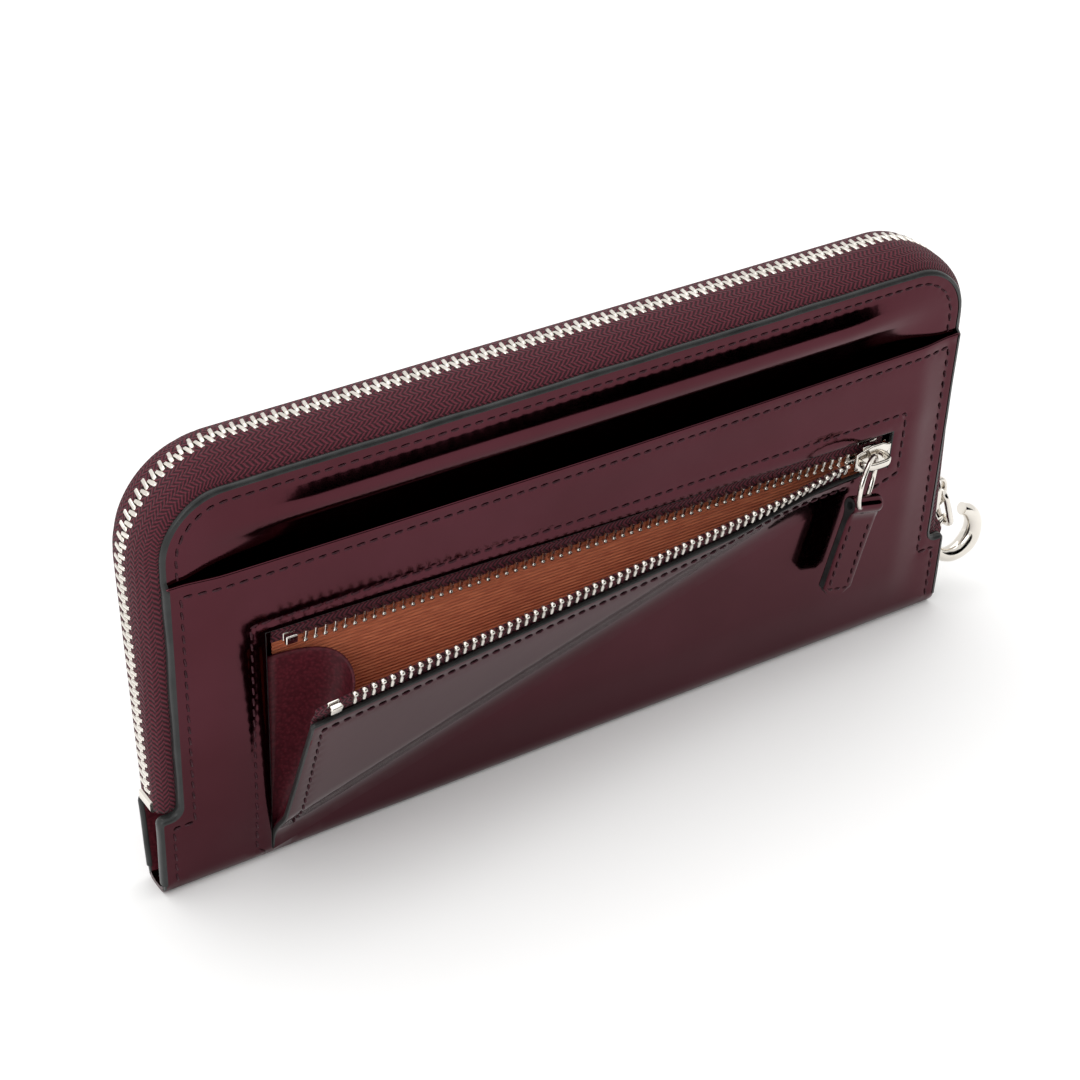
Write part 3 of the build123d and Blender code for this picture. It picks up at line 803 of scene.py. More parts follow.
def front_covers():
    """Base leather, and the overlay that makes the slip pocket, with their stitches."""
    top_row = [arch_line(LINE_INSET, LIP)]
    base = panel("front_base_leather", [cover_line(6.0, HEIGHT, CORNER_R)], base_y, -1, LEATHER,
                 [PATENT, PAINT, GRAINED], top_row)
    fit(base, "front_cover", "glossy_leather", "front_base_panel")
    slip = [np.array([(-NECK + LINE_INSET, SLIP_ROW), (NECK - LINE_INSET, SLIP_ROW)])]
    rows = slip + neck_rows(TAB_ROW, SLIP_ROW) + tab_rows() + frame_rows()
    window = [
        (WINDOW_LEFT, WINDOW_TOP + 2.4), (WINDOW_RIGHT, WINDOW_TOP - 0.7),
        tuple(WINDOW_HEEL), tuple(CUT_FOOT),
    ]
    overlay = panel("front_overlay_leather", [cover_line(SEAM_Z, LIP, 0), window], overlay_y, -1,
                    LEATHER, [PATENT, PAINT, GRAINED], rows, is_open=on_seam)
    for face in overlay.data.polygons:
        if face.material_index == 1 and face.center.z > (LIP - 2.0) * MM:
            face.material_index = 0
    fit(overlay, "front_cover", "glossy_leather", "front_overlay")
    fit(stitches("front_stitches", rows, overlay_y, -1, THREAD), "front_cover", "glossy_leather")
    fit(stitches("top_stitches", top_row, base_y, -1, THREAD), "front_cover", "glossy_leather")


def edge_band(name, line, outer, inner, body, proud=0.5):
    """Bead of edge paint along the cut edges of stacked leather."""
    line = divided(line, 1.2, closed=False)
    step = np.gradient(line, axis=0)
    out = np.stack([step[:, 1], -step[:, 0]], 1) / np.linalg.norm(step, axis=1)[:, None]
    front, back = outer(line[:, 0], line[:, 1]), inner(line[:, 0], line[:, 1])
    rows = []
    for k, (p, n) in enumerate(zip(line, out)):
        swell = 1 + 0.22 * math.sin(0.35 * k) * math.sin(0.083 * k + 1)
        half = (back[k] - front[k]) / 2
        ends = np.sign(half) * 0.12
        row = []
        for t in np.linspace(-math.pi / 2, math.pi / 2, 9):
            reach = -0.55 + (0.55 + proud * swell) * math.cos(t) ** 0.6
            y = (front[k] + back[k]) / 2 + (half + ends) * math.sin(t)
            row.append((p[0] + n[0] * reach, y, p[1] + n[1] * reach))
        rows.append(row)
    piece = grid_object(name, rows, [PAINT])
    return fit(piece, body, "glossy_leather")


def edge_bands():
    def stacked(x, z):
        return np.where(z < LIP, overlay_y(x, z), base_y(x, z))

    def base_back(x, z):
        return base_y(x, z) + LEATHER

    def rear_front(x, z):
        return rear_y(x, z) - LEATHER

    line = cover_line(3.0, HEIGHT, CORNER_R)
    edge_band("front_edge_paint", line, stacked, base_back, "front_cover")
    edge_band("rear_edge_paint", line, rear_front, rear_y, "rear_cover", proud=0.35)


def rear_cover():
    rows = [arch_line(LINE_INSET, TAB_ROW)] + tab_rows()

    def foot(points):
        return points[:, 1] < SEAM_Z + 1e-3

    leather = panel("rear_leather", [cover_line(SEAM_Z, HEIGHT, CORNER_R)], rear_y, 1, LEATHER,
                    [PATENT, PAINT, GRAINED], rows, is_open=foot)
    fit(leather, "rear_cover", "glossy_leather", "rear_panel")
    fit(stitches("rear_stitches", rows, rear_y, 1, THREAD), "rear_cover", "glossy_leather")


def spine_leather():
    """Fold under the wallet, from the front leather round to the rear leather."""
    rows = []
    for x in divided([(-HALF, 0), (HALF, 0)], 1.0, closed=False)[:, 0]:
        front, rear = y_at(overlay_y, x, SEAM_Z), y_at(rear_y, x, SEAM_Z)
        outer = [(front, SEAM_Z), (front + 0.45, 0.55), (front + 1.2, 0.2), (front + 2.4, 0.05)]
        outer += [((front + rear) / 2, 0.0)]
        outer += [(rear - 2.4, 0.05), (rear - 1.2, 0.2), (rear - 0.45, 0.55), (rear, SEAM_Z)]
        inner = [(y + (0.9 if y < 0 else -0.9), z + 0.9) for y, z in reversed(outer)]
        rows.append([(x, y, z) for y, z in outer + inner])
    piece = grid_object("spine_leather", rows, [PATENT], closed=True, caps=True, sharp=50)
    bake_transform(piece)
    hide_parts("spine")


# ---------------------------------------------------------------- main zip
def cubic(a, b, c, d, t):
    """Point on a Bezier curve from a to d that heads for b and comes in from c."""
    return (1 - t) ** 3 * a + 3 * t * (1 - t) ** 2 * b + 3 * t * t * (1 - t) * c + t ** 3 * d


def arch_stations(foot, step):
    """Matching places on the leather's edge and on the zip's ridge, with their normals."""
    lx, lz = NECK - CORNER_R, HEIGHT - CORNER_R
    rx, rz = RIDGE_HALF - RIDGE_R, RIDGE_TOP - RIDGE_R
    left = []
    for t in np.linspace(0, 1, math.ceil((rz - foot) / step)):
        left.append(((-NECK, foot + t * (lz - foot)), (-RIDGE_HALF, foot + t * (rz - foot)), (-1, 0)))
    for a in np.radians(np.linspace(3, 90, 30)):
        n = (-math.cos(a), math.sin(a))
        left.append(((-lx + CORNER_R * n[0], lz + CORNER_R * n[1]),
                     (-rx + RIDGE_R * n[0], rz + RIDGE_R * n[1]), n))
    flat = [((-lx + 2 * lx * t, HEIGHT), (-rx + 2 * rx * t, RIDGE_TOP), (0, 1))
            for t in np.linspace(0, 1, math.ceil(2 * rx / step))[1:-1]]
    right = [((-a[0], a[1]), (-b[0], b[1]), (-n[0], n[1])) for a, b, n in reversed(left)]
    return [(np.array(a), np.array(b), np.array(n)) for a, b, n in left + flat + right]


def main_tape(name, node, side, leather_y, body):
    """Woven tape that arches from under the leather's edge over to the teeth."""
    foot = span(node)[0][2]
    rows, weave, run, last = [], [], 0.0, None
    fine = np.linspace(0, 1, 44)
    for leather, ridge, n in arch_stations(foot, 1.1):
        run += 0.0 if last is None else float(np.linalg.norm(ridge - last))
        last = ridge
        y = y_at(leather_y, *leather) - side * (LEATHER + 0.15)
        start = np.array([-1.6, y])
        end = np.array([float((ridge - leather) @ n) + 0.3, side * TAPE_EDGE])
        c1 = start + np.array([3.6, side * 0.5])
        c2 = end + np.array([0.25, side * 4.2])
        row, marks, across, before = [], [], 0.0, start
        for t in fine:
            p = cubic(start, c1, c2, end, t)
            across += float(np.linalg.norm(p - before))
            before = p
            base = leather + (ridge - leather) * t
            out = float((base - leather) @ n)
            rib = 0.07 * math.cos(2 * math.pi * across / WALE) * math.sin(math.pi * t)
            spot = base + n * (p[0] + rib - out)
            row.append((spot[0], p[1], spot[1]))
            marks.append((run, across))
        rows.append(row)
        weave.append(marks)
    piece = solidify(grid_object(name, rows, [TAPE_CLOTH], uv=weave), TAPE_THICK, float(side))
    return fit(piece, body, "zip_tape", node)


TOOTH_SIDES = 8


def tooth_rings(ball):
    """Sections of one cast tooth: (distance along it, half width, low, high)."""
    if ball:
        return [(TOOTH_OUT, 0.36, -0.75, 0.75), (0.9, 0.36, -0.7, 0.7), (0.25, 0.26, -0.42, 0.42),
                (0.0, 0.36, -0.55, 0.55), (-0.3, 0.52, -0.7, 0.7), (-0.62, 0.40, -0.52, 0.52),
                (-0.8, 0.14, -0.2, 0.2)]
    return [(TOOTH_OUT + 0.1, 0.34, -0.7, 0.8), (TOOTH_OUT - 0.1, 0.44, -0.9, 1.0),
            (0.7, 0.46, -0.9, 1.05), (0.1, 0.42, -0.9, 1.05), (-0.5, 0.46, -0.8, 0.95),
            (-0.85, 0.30, -0.6, 0.7)]


def tooth_block(ball, slant):
    """One tooth's points: x along the zip, y towards its own tape, z outward."""
    block = []
    for y, half, low, high in tooth_rings(ball):
        cut = 0.45 * half
        lean = slant * (y - 0.6)
        for x, z in ((half, low + cut), (half, high - cut), (half - cut, high), (cut - half, high),
                     (-half, high - cut), (-half, low + cut), (cut - half, low), (half - cut, low)):
            block.append((x + lean, y, z))
    return np.array(block)


def ridge_place(run):
    """Place, direction and outward normal after a run along the main zip's ridge."""
    if run <= SIDE_RUN:
        return (-RIDGE_HALF, TAPE_FOOT + run), (0, 1), (-1, 0)
    if run <= SIDE_RUN + TURN_RUN:
        a = (run - SIDE_RUN) / RIDGE_R
        n = (-math.cos(a), math.sin(a))
        spot = (-RIDGE_HALF + RIDGE_R + RIDGE_R * n[0], RIDGE_TOP - RIDGE_R + RIDGE_R * n[1])
        return spot, (n[1], -n[0]), n
    if run <= SIDE_RUN + TURN_RUN + TOP_RUN:
        return (-RIDGE_HALF + RIDGE_R + run - SIDE_RUN - TURN_RUN, RIDGE_TOP), (1, 0), (0, 1)
    (x, z), (tx, tz), (nx, nz) = ridge_place(RIDGE_RUN - run)
    return (-x, z), (tx, -tz), (-nx, nz)


SLIDER_LOW, SLIDER_HIGH = span("main_slider")


def main_teeth(name, node, side, shift, body):
    """One row of the main zip's teeth, from its foot round to the slider."""
    block = tooth_block(False, 0.16)
    run, blocks = 4.0 + shift, []
    while run <= RIDGE_RUN - (SLIDER_HIGH[2] - TAPE_FOOT) - 0.8:
        (x, z), (tx, tz), (nx, nz) = ridge_place(run)
        place = Place((x, 0, z), (tx, 0, tz), (0, side, 0), (nx, 0, nz))
        blocks.append(place(block))
        run += PITCH
    faces = ring_faces(len(tooth_rings(False)), TOOTH_SIDES)
    piece = many(name, blocks, faces, [TOOTH_METAL], sharp=38)
    fit(piece, body, "zip_metal", node)


TAPE_END_X = 94.6


def tape_end():
    """Folded end of the main tape that stands out beside the slider's foot."""
    rows = []
    for t in np.linspace(0, 1, 28):
        z = 25.5 - t * 9.5
        reach = 1.0 + 5.6 * ramp(t, 0.0, 0.75)
        row = []
        for s in np.linspace(0, 1, 22):
            x = TAPE_END_X + reach * s
            rib = 0.10 * math.sin(2 * math.pi * (s * reach + 0.6 * z) / 0.95)
            row.append((x, -2.4 + 1.6 * s + rib, z + 1.2 * s * (1 - t)))
        rows.append(row)
    weave = [[(p[0], p[2]) for p in row] for row in rows]
    piece = solidify(grid_object("main_tape_end", rows, [TAPE_CLOTH], uv=weave), 0.9)
    fit(piece, "front_cover", "zip_tape")


def main_zip():
    def front_y(x, z):
        return np.where(z < LIP, overlay_y(x, z) + LEATHER, base_y(x, z))

    main_tape("front_tape_cloth", "front_tape", -1, front_y, "front_cover")
    main_tape("rear_tape_cloth", "rear_tape", 1, rear_y, "rear_cover")
    main_teeth("front_teeth_row", "front_teeth", -1, 0.0, "front_cover")
    main_teeth("rear_teeth_row", "rear_teeth", 1, PITCH / 2, "rear_cover")
    tape_end()


# ---------------------------------------------------------------- coin pocket
ZIP_ALONG = np.array([math.cos(math.atan(ZIP_SLOPE)), 0, 0]) - UP_FACE * math.sin(math.atan(ZIP_SLOPE))
ZIP_UP = np.cross(OUT_FACE, ZIP_ALONG)
FACE_AT_ZIP = np.array([0, -(FACE_FOOT + FACE_SLOPE * COIN_Z), COIN_Z])
COIN_ZIP = Place(FACE_AT_ZIP + np.array([COIN_X, 0, 0]) - 0.7 * OUT_FACE, ZIP_ALONG, ZIP_UP, OUT_FACE)
COIN_FIRST, COIN_LAST = -66.0, 65.6
FLAP_LEFT = -74.2
COIN_TAPE_LEFT = -73.0
GUSSET_X = -73.9          # the coin gusset is sewn in here
GUSSET_REACH = 17.5       # and its fold heads this far in


def flap_loop(inset=0.0):
    """The flap's outline when shut, with its seam to the overlay as the last side."""
    left, right = FLAP_LEFT + inset, WINDOW_RIGHT - 0.3 - 6 * inset
    foot = CUT_FOOT + np.array([inset, 1.6 * inset])
    heel = WINDOW_HEEL if inset == 0 else np.array([right, hinge_z(right) + 0.8])
    return [tuple(foot), tuple(heel), (right, zip_z(right) - LIP_DROP - inset),
            (left, zip_z(left) - LIP_DROP - inset)]


def coin_flap():
    """The flap's leather with its stitches, and the cloth glued inside it."""
    inset = 2.6
    left, right = FLAP_LEFT + inset, 66.0
    corner = (left, zip_z(left) - LIP_DROP - inset)
    rows = [np.array([(left + 1.5, 8.0), corner, (right, zip_z(0) - LIP_DROP - 1.3 - inset)])]
    leather = panel("coin_flap_leather", [flap_loop()], overlay_y, -1, LEATHER,
                    [PATENT, PAINT, GRAINED], rows, is_open=on_seam, warp=flap_bend)
    fit_flap(leather, "glossy_leather", "coin_flap")
    fit_flap(stitches("flap_stitches", rows, overlay_y, -1, THREAD, warp=flap_bend), "glossy_leather")

    def lining_y(x, z):
        return overlay_y(x, z) + LEATHER + 0.08

    cloth = panel("coin_flap_cloth", [flap_loop(3.0)], lining_y, -1, 0.3, [COPPER_CLOTH],
                  cell=2.5, warp=flap_bend)
    fit_flap(cloth, "lining", "coin_flap_lining")


def ribbed_cloth(name, x0, x1, z0, z1, surface, material, rib=0.8, columns=60):
    """Grosgrain sheet whose ribs stand out of its mesh."""
    heights = np.arange(z0, z1, rib / 5)
    xs = np.linspace(x0, x1, columns)
    rows = []
    for z in heights:
        y = surface(xs, np.full(len(xs), z)) - 0.18 * math.sin(2 * math.pi * z / rib)
        rows.append(np.stack([xs, y, np.full(len(xs), z)], 1))
    return grid_object(name, rows, [material])


def coin_lining():
    def behind(x, z):
        return base_y(x, z) - 0.30 + 0.10 * np.sin(0.08 * x) * np.sin(0.1 * z)

    low, high = span("coin_back_lining")
    size = (low[0], high[0], low[2], high[2])
    piece = ribbed_cloth("coin_back_cloth", *size, behind, COPPER_CLOTH)
    fit(piece, "front_cover", "lining", "coin_back_lining")


def coin_tape(name, low, high, x0, x1):
    """Strip of zip tape beside the coin zip's teeth, in the flat face."""
    rows, weave = [], []
    for y in np.linspace(low, high, 22):
        row = []
        for x in np.arange(x0, x1, 1.3):
            lift = 0.06 * math.cos(2 * math.pi * y / WALE) + 0.18 * math.sin(0.21 * x + y)
            row.append((x - COIN_X, y, -0.5 + lift * (1 - 0.5 * (abs(y) < 2))))
        rows.append(COIN_ZIP(row))
        weave.append([(p[0], y) for p in row])
    return grid_object(name, rows, [TAPE_CLOTH], uv=weave)


def thickened(piece, thick):
    """Gives a sheet its thickness for good, so that it can bend."""
    solidify(piece, thick)
    name = piece.name
    graph = bpy.context.evaluated_depsgraph_get()
    mesh = bpy.data.meshes.new_from_object(piece.evaluated_get(graph))
    piece.modifiers.clear()
    piece.data = mesh
    piece.name = name
    return piece


def bend_object(piece):
    """Bends a flat piece open with the coin flap."""
    points = np.array([v.co for v in piece.data.vertices]) / MM
    piece.data.vertices.foreach_set("co", (flap_bend(points) * MM).ravel())
    piece.data.update()
    return piece


def coin_teeth(name, side, last, shift):
    """One row of the coin zip's teeth, in the flat face."""
    block = tooth_block(True, 0.05)
    blocks, x = [], COIN_FIRST + shift
    while x <= last:
        local = block * np.array([1, side, 1]) + np.array([x - COIN_X, 0, 0])
        blocks.append(COIN_ZIP(local))
        x += PITCH
    faces = ring_faces(len(tooth_rings(True)), TOOTH_SIDES)
    return many(name, blocks, faces, [TOOTH_METAL], sharp=60)


def coin_clip(name, side):
    """Clip of two plates at the left end of one of the coin zip's tapes."""
    outline = [(-1.3, -1.0), (1.3, -1.0), (1.3, 1.0), (-1.3, 1.0)]
    place = Place(COIN_ZIP([(-69.3 - COIN_X, side * 1.3, 0)])[0], ZIP_ALONG, ZIP_UP, OUT_FACE)
    top = slab_in(place, name, outline, -0.2, 1.1, BRIGHT_METAL, 0.3)
    back = slab_in(place, name + "_back", outline, -1.0, -0.35, BRIGHT_METAL, 0.25)
    return joined(name, [top, back])


def coin_zip():
    upper = coin_tape("coin_upper_cloth", TAPE_EDGE, 8.0, COIN_TAPE_LEFT, 75.5)
    fit(thickened(upper, TAPE_THICK), "front_cover", "zip_tape", "coin_upper_tape")
    lower = coin_tape("coin_lower_cloth", -7.4, -TAPE_EDGE, COIN_TAPE_LEFT, 66.0)
    fit_flap(bend_object(thickened(lower, TAPE_THICK)), "zip_tape", "coin_lower_tape")
    upper_row = coin_teeth("coin_upper_row", 1, COIN_LAST, 0.0)
    fit(upper_row, "front_cover", "zip_metal", "coin_upper_teeth")
    lower_row = bend_object(coin_teeth("coin_lower_row", -1, COIN_LAST - 1.0, PITCH / 2))
    fit_flap(lower_row, "zip_metal", "coin_lower_teeth")
    fit(coin_clip("coin_upper_stop", 1), "front_cover", "zip_metal", "coin_upper_clip")
    fit_flap(bend_object(coin_clip("coin_lower_stop", -1)), "zip_metal", "coin_lower_clip")


def behind_overlay(x, z, gap):
    """A place behind the overlay's leather, or the shut flap's, by a gap."""
    return np.array([x, y_at(overlay_y, x, z) + LEATHER + gap, z])


def coin_gusset():
    """Leather fold that fills the open pocket's left end, with a rounded fold line."""
    rows = []
    for z in np.linspace(2.4, 51.5, 46):
        share = ramp(z, 0.0, 50.0)
        inward = np.array([GUSSET_REACH * share, 0, 0])
        low = min(z, 49.0)
        back = behind_overlay(GUSSET_X, z, 0.3)
        flat = behind_overlay(GUSSET_X, z, 0.6) * [1, 1, 0] + [0, 0, low]
        front = flap_bend(flat[None])[0]
        ahead = behind_overlay(GUSSET_X + inward[0], low, 0.9)
        tip_x = (back[0] + front[0]) / 2 + 16.5 * share
        c1 = back + inward + [0, -0.2, 0]
        c2 = flap_bend(ahead[None])[0] + [0, 3.2 * share, 0]
        row = []
        for t in np.linspace(0, 1, 31):
            p = cubic(back, c1, c2, front, t)
            p[0] += 0.25 * (tip_x - p[0]) * math.sin(math.pi * t)
            p[2] -= share * 3.0 * ramp(t, 0.25, 1.0)
            row.append(p)
        rows.append(row)
    piece = thickened(grid_object("coin_gusset_leather", rows, [GRAINED]), 0.6)
    return fit_flap(piece, "matt_leather", "coin_gusset", start=back * MM, end=front * MM)


# ---------------------------------------------------------------- sliders and pullers
def squared(value, power):
    """A sine or cosine made flatter, which squares up the loop drawn with it."""
    return np.sign(value) * abs(value) ** power


def slider(name, node, bridge_node, place, body, rise):
    """Zip slider: shield-shaped plates, turned-in flanges, wedge, and the puller's arch."""
    long, wide = 4.5, 3.3
    edge = [(-long, 0.62 * wide), (-long + 0.9, 0.72 * wide), (-0.5, wide), (2.6, wide),
            (long, 0.72 * wide), (long, 0.30 * wide), (long - 1.4, 0.12 * wide)]
    shield = [(x, -y) for x, y in edge] + edge[::-1]
    parts = [slab_in(place, "plate", shield, low, low + 0.9, BRIGHT_METAL, 0.28) for low in (1.1, -2.0)]
    for s in (-1, 1):
        flange = [(-2.6, s * wide), (2.6, s * wide), (2.6, s * (wide - 0.7)), (-2.6, s * (wide - 0.7))]
        for low in (0.45, -1.5):
            parts.append(slab_in(place, "flange", flange[::s], low, low + 1.05, BRIGHT_METAL, 0.2))
    wedge = [(1.2, -0.5), (3.4, -0.25), (3.4, 0.25), (1.2, 0.5)]
    parts.append(slab_in(place, "wedge", wedge, -1.15, 1.15, BRIGHT_METAL, 0.1))
    fit(joined(name, parts), body, "polished_metal", node)
    rows = []
    for a in np.linspace(0, math.pi, 33):
        c, s = math.cos(a), math.sin(a)
        x, z = -3.45 * squared(c, 0.6), 1.9 + rise * abs(s) ** 0.55
        row = []
        for b in np.linspace(0, 2 * math.pi, 13)[:-1]:
            out = 0.45 * squared(math.sin(b), 0.6)
            row.append((x - c * out, 0.85 * squared(math.cos(b), 0.6), z + s * out))
        rows.append(place(row))
    arch = grid_object(name + "_bridge", rows, [BRIGHT_METAL], closed=True, caps=True, sharp=60)
    fit(arch, body, "polished_metal", bridge_node)


def pull_tab():
    """Leather tab folded round the ring and stitched, its sides and corners painted."""
    eye = joint("pull_tab_swing")[0]
    lean = math.radians(12.0)
    across = ZIP_ALONG * math.cos(lean) - ZIP_UP * math.sin(lean)
    hang = Place(eye, across, np.cross(OUT_FACE, across), OUT_FACE)
    half, long, thick, loop_r, eye_r, cut = 4.0, 23.0, 1.1, 2.05, 0.95, 1.8

    def half_width(v):
        return half - max(0.0, cut - (v + long))

    profile = [(-long, t) for t in (-0.6, 0.0, 0.6)]
    profile += [(v, thick - 0.1 * bell(v, -12.0, 8.0)) for v in np.linspace(-long + 0.3, -3.2, 40)]
    profile += [(loop_r * math.sin(a), loop_r * math.cos(a)) for a in np.radians(np.linspace(-48, 228, 24))]
    profile += [(v, -thick) for v in np.linspace(-3.2, -long + 0.3, 40)]
    rows, ring = [], []
    for v, w in profile:
        size = math.hypot(v, w)
        inward = np.array([-v, -w]) / size if size < loop_r + 0.2 else np.array([0, -np.sign(w)])
        if v <= -long + 0.01:
            inward = np.array([1.0, 0.0])
        ring.append((np.array([v, w]), inward))
    rounded = ((0.0, 0.35), (0.10, 0.10), (0.30, 0.0))      # in from the side, and into the leather
    for p, inward in ring:
        width = half_width(p[0])
        spots = [(inset - width, sink) for inset, sink in rounded]
        spots += [(t * (width - 0.3), 0.0) for t in np.linspace(-0.8, 0.8, 7)]
        spots += [(width - inset, sink) for inset, sink in reversed(rounded)]
        rows.append(hang([(u, *(p + inward * sink)) for u, sink in spots]))
    rows.append(rows[0])
    parts = [grid_object("tab_skin", rows, [PATENT])]
    outer = np.array([p + inward * 0.35 for p, inward in ring])
    turns = np.linspace(0, 2 * math.pi, 17)
    eyelet = [(eye_r * math.cos(a), eye_r * math.sin(a)) for a in turns]
    hole = np.array(eyelet[:-1])
    n, m = len(outer), len(hole)
    edges = [(k, (k + 1) % n) for k in range(n)] + [(n + k, n + (k + 1) % m) for k in range(m)]
    found = delaunay_2d_cdt([Vector(p) for p in np.vstack([outer, hole])], edges, [], 0, 1e-4)
    plan = np.array([tuple(v) for v in found[0]])
    triangles = np.array(found[2])
    triangles = triangles[within([outer, hole], plan[triangles].mean(axis=1))].tolist()
    for s in (-1, 1):
        points = hang([(s * half_width(v), v, w) for v, w in plan])
        parts.append(mesh_object("tab_side", points, triangles, [PAINT]))
    tunnel = [hang([(u, v, w) for u in (-half, 0, half)]) for v, w in eyelet]
    parts.append(grid_object("tab_eye", tunnel, [PAINT]))
    piece = joined("pull_tab_leather", parts)
    fit(piece, "pull_tab", "glossy_leather", "coin_pull_tab")
    side, low, high = half - 1.35, -long + 1.6, -4.4
    line = np.array([(-side, high), (-side, low), (side, low), (side, high)])
    for name, out in (("front", 1), ("back", -1)):

        def height(x, v, out=out):
            return np.full(len(x), out * (thick - 0.05))

        seam = stitches("tab_stitches_" + name, [line], height, out, THREAD, deep=0.05, pitch=2.3)
        points = np.array([v.co for v in seam.data.vertices]) / MM
        moved = hang(np.stack([points[:, 0], points[:, 2], points[:, 1]], 1))
        seam.data.vertices.foreach_set("co", (moved * MM).ravel())
        fit(seam, "pull_tab", "glossy_leather")


def hardware():
    """Both sliders, the pull tab, and the CAD's own metal nodes with a better metal."""
    middle = (RIDGE_HALF, 0, (SLIDER_LOW[2] + SLIDER_HIGH[2]) / 2)
    main_place = Place(middle, (0, 0, 1), (0, 1, 0), (1, 0, 0))
    slider("coin_slider_body", "coin_slider", "coin_slider_bridge", COIN_ZIP, "coin_slider", 2.7)
    slider("main_slider_body", "main_slider", "main_slider_bridge", main_place, "main_slider", 3.5)
    pull_tab()
    for node in ("coin_ring", "main_link", "main_hoop", "main_bottom_stop", "coin_end_stop",
                 "front_top_stop", "rear_top_stop"):
        piece = frame["nodes"][node]
        piece.data.materials.clear()
        piece.data.materials.append(BRIGHT_METAL)


# ---------------------------------------------------------------- inside the wallet
SLOT_END, SLOT_GAP = 84.0, 2.0      # each bank of card slots, from the wallet's middle


def inside():
    """Linings, four stepped card slots in each of four banks, and the centre divider."""
    def front_lining(x, z):
        return -(1.0 + INNER_LEAN * z) + 0 * x

    def rear_lining(x, z):
        return 2.7 + REAR_LEAN * z - 0.05 + 0 * x

    size = (-86.0, 86.0, 5.0, 86.0)
    for name, node, surface, body in (("front_lining_cloth", "front_lining", front_lining, "front_cover"),
                                      ("rear_lining_cloth", "rear_lining", rear_lining, "rear_cover")):
        piece = ribbed_cloth(name, *size, surface, DARK_CLOTH, rib=1.2, columns=24)
        fit(piece, body, "lining", node)
    strips = [(64, 78), (55, 70), (46, 62), (30, 54)]
    covers = (("front", 1, -0.4, -INNER_LEAN), ("rear", -1, 1.55, REAR_LEAN))
    for part, x0, x1 in (("left", -SLOT_END, -SLOT_GAP), ("right", SLOT_GAP, SLOT_END)):
        for cover, out, first, lean in covers:
            slots = []
            for k, (low, high) in enumerate(strips):

                def slot_y(x, z, k=k, out=out, first=first, lean=lean):
                    return first + lean * z + out * 0.5 * (k + 0.6)

                row = [np.array([(x0 + 1.5, high - 2.0), (x1 - 1.5, high - 2.0)])]
                loop = [(x0, low), (x1, low), (x1, high), (x0, high)]
                slots.append(panel("slot", [loop], slot_y, out, 0.45, [GRAINED, PAINT], cell=4.0))
                slots.append(stitches("slot_row", row, slot_y, out, THREAD, deep=0.0))
            node = f"{cover}_card_slots_{part}"
            fit(joined(node + "_leather", slots), cover + "_cover", "matt_leather", node)

    def divider_y(x, z):
        return -0.6 + 0 * x

    loop = [(-79, 5), (79, 5), (79, 82), (-79, 82)]
    divider = panel("divider_leather", [loop], divider_y, -1, 0.6, [GRAINED, PAINT], cell=4.0)
    fit(divider, "front_cover", "matt_leather", "centre_divider")


def side_gussets():
    """Leather fans at both ends, folded in between the covers."""
    for name, side in (("left_gusset", -1), ("right_gusset", 1)):
        rows = []
        for z in np.linspace(12.0, 66.0, 28):
            front, rear = -(1.2 + INNER_LEAN * z), 2.4 + REAR_LEAN * z
            row = []
            for t in np.linspace(0, 1, 25):
                fold = (2.0 + 0.08 * z) * (1 - abs(2 * t - 1) ** 1.3)
                row.append((side * (88.4 - fold), front + (rear - front) * t, z))
            rows.append(row)
        piece = thickened(grid_object(name + "_leather", rows, [GRAINED]), 0.6)
        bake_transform(piece)
        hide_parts(name)


# ---------------------------------------------------------------- stage, light and camera
def stage_floor():
    floor = mesh_object("floor", [(-3000, -3000, 0), (3000, -3000, 0), (3000, 3000, 0), (-3000, 3000, 0)],
                        [(0, 1, 2, 3)], [])
    paper = Nodes("paper", (0.93, 0.93, 0.93), 0.9)
    paper.colors(paper.noise(3.0), [(0.3, (0.92, 0.92, 0.92)), (0.7, (0.94, 0.94, 0.94))])
    floor.data.materials.append(paper.material)


def dark_card(name, centre, size, turn):
    """Black card beyond the picture, which only the glossy leather and metal mirror."""
    w, h = size[0] / 2, size[1]
    c, s = math.cos(math.radians(turn)), math.sin(math.radians(turn))
    (x, y, z), flat = centre, ((-w, 0), (w, 0), (w, h), (-w, h))
    corners = [(x + u * c, y + u * s, z + v) for u, v in flat]
    card = mesh_object(name, corners, [(0, 1, 2, 3)], [])
    black = Nodes("black_card", (0.0, 0.0, 0.0), 1.0)
    black.shader.inputs["Specular IOR Level"].default_value = 0.0
    card.data.materials.append(black.material)
    card.visible_camera = False
    card.visible_diffuse = False
    card.visible_shadow = False


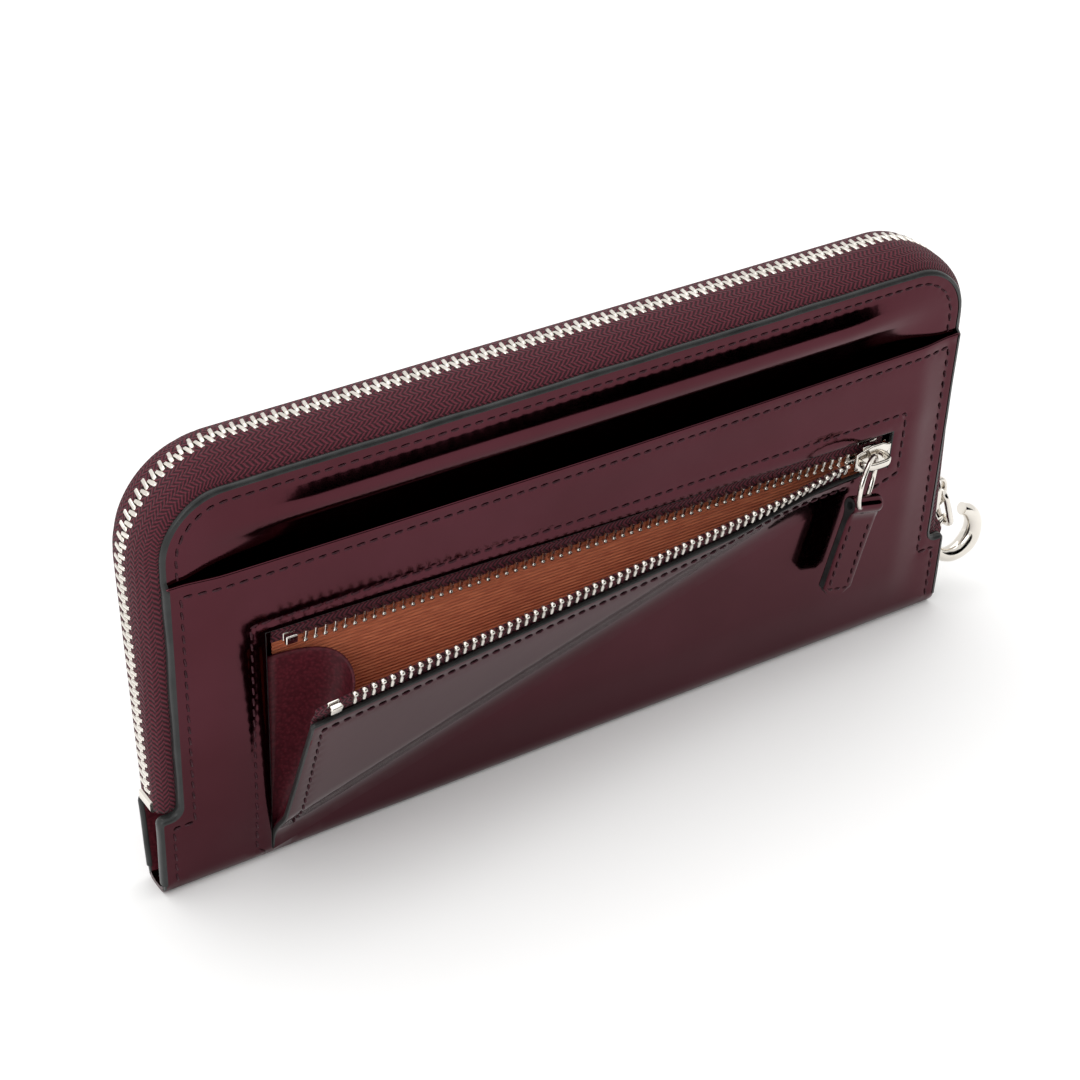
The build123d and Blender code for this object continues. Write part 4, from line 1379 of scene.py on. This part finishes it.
def soft_light(name, place, target, size, power):
    """Rectangular softbox that faces a target; in metres."""
    lamp = bpy.data.lights.new(name, "AREA")
    lamp.shape = "RECTANGLE"
    lamp.size, lamp.size_y = size
    lamp.energy = power
    piece = bpy.data.objects.new(name, lamp)
    piece.location = place
    piece.rotation_euler = (Vector(target) - Vector(place)).to_track_quat("-Z", "Y").to_euler()
    bpy.context.scene.collection.objects.link(piece)


def studio():
    stage_floor()
    world = bpy.data.worlds.new("studio")
    world.use_nodes = True
    world.node_tree.nodes["Background"].inputs[0].default_value = (1.0, 0.995, 0.985, 1)
    world.node_tree.nodes["Background"].inputs[1].default_value = 0.95
    bpy.context.scene.world = world
    bpy.context.scene.view_settings.view_transform = "Standard"
    soft_light("top_softbox", (0.1, 0.3, 1.2), (0, 0, 0), (1.5, 1.2), 6.0)
    soft_light("left_softbox", (-1.0, -0.5, 0.8), (0, 0, 0.05), (0.8, 0.8), 4.0)
    dark_card("dark_card_front", (120.0, -420.0, 0.0), (900.0, 330.0), 25)


def camera():
    """Camera at the photograph's viewing angle.

    It is placed by its turn, rise and roll, and then tilted about the X axis.
    """
    turn, rise, roll, lean = (math.radians(a) for a in (-32.5, 33.99, 0.83, 2.015))
    distance, left, down = 504.4, 6.98, 0.54
    back = Vector((math.sin(turn) * math.cos(rise), -math.cos(turn) * math.cos(rise), math.sin(rise)))
    level = Vector((math.cos(turn), math.sin(turn), 0))
    above = back.cross(level)
    right = math.cos(roll) * level + math.sin(roll) * above
    up = math.cos(roll) * above - math.sin(roll) * level
    tilt = Matrix.Rotation(lean, 3, "X")
    place = tilt @ (Vector((0, 0, 50)) - right * left - up * down + back * distance)
    axes = Matrix([tilt @ right, tilt @ up, tilt @ back]).transposed()
    lens = bpy.data.cameras.new("camera")
    lens.lens, lens.sensor_width = 81.37, 36.0
    lens.clip_start, lens.clip_end = 0.02, 20.0
    eye = bpy.data.objects.new("camera", lens)
    eye.matrix_world = Matrix.Translation(place * MM) @ axes.to_4x4()
    bpy.context.scene.collection.objects.link(eye)
    bpy.context.scene.camera = eye


front_covers()
edge_bands()
rear_cover()
spine_leather()
main_zip()
coin_flap()
coin_lining()
coin_zip()
coin_gusset()
hardware()
inside()
side_gussets()
studio()
camera()
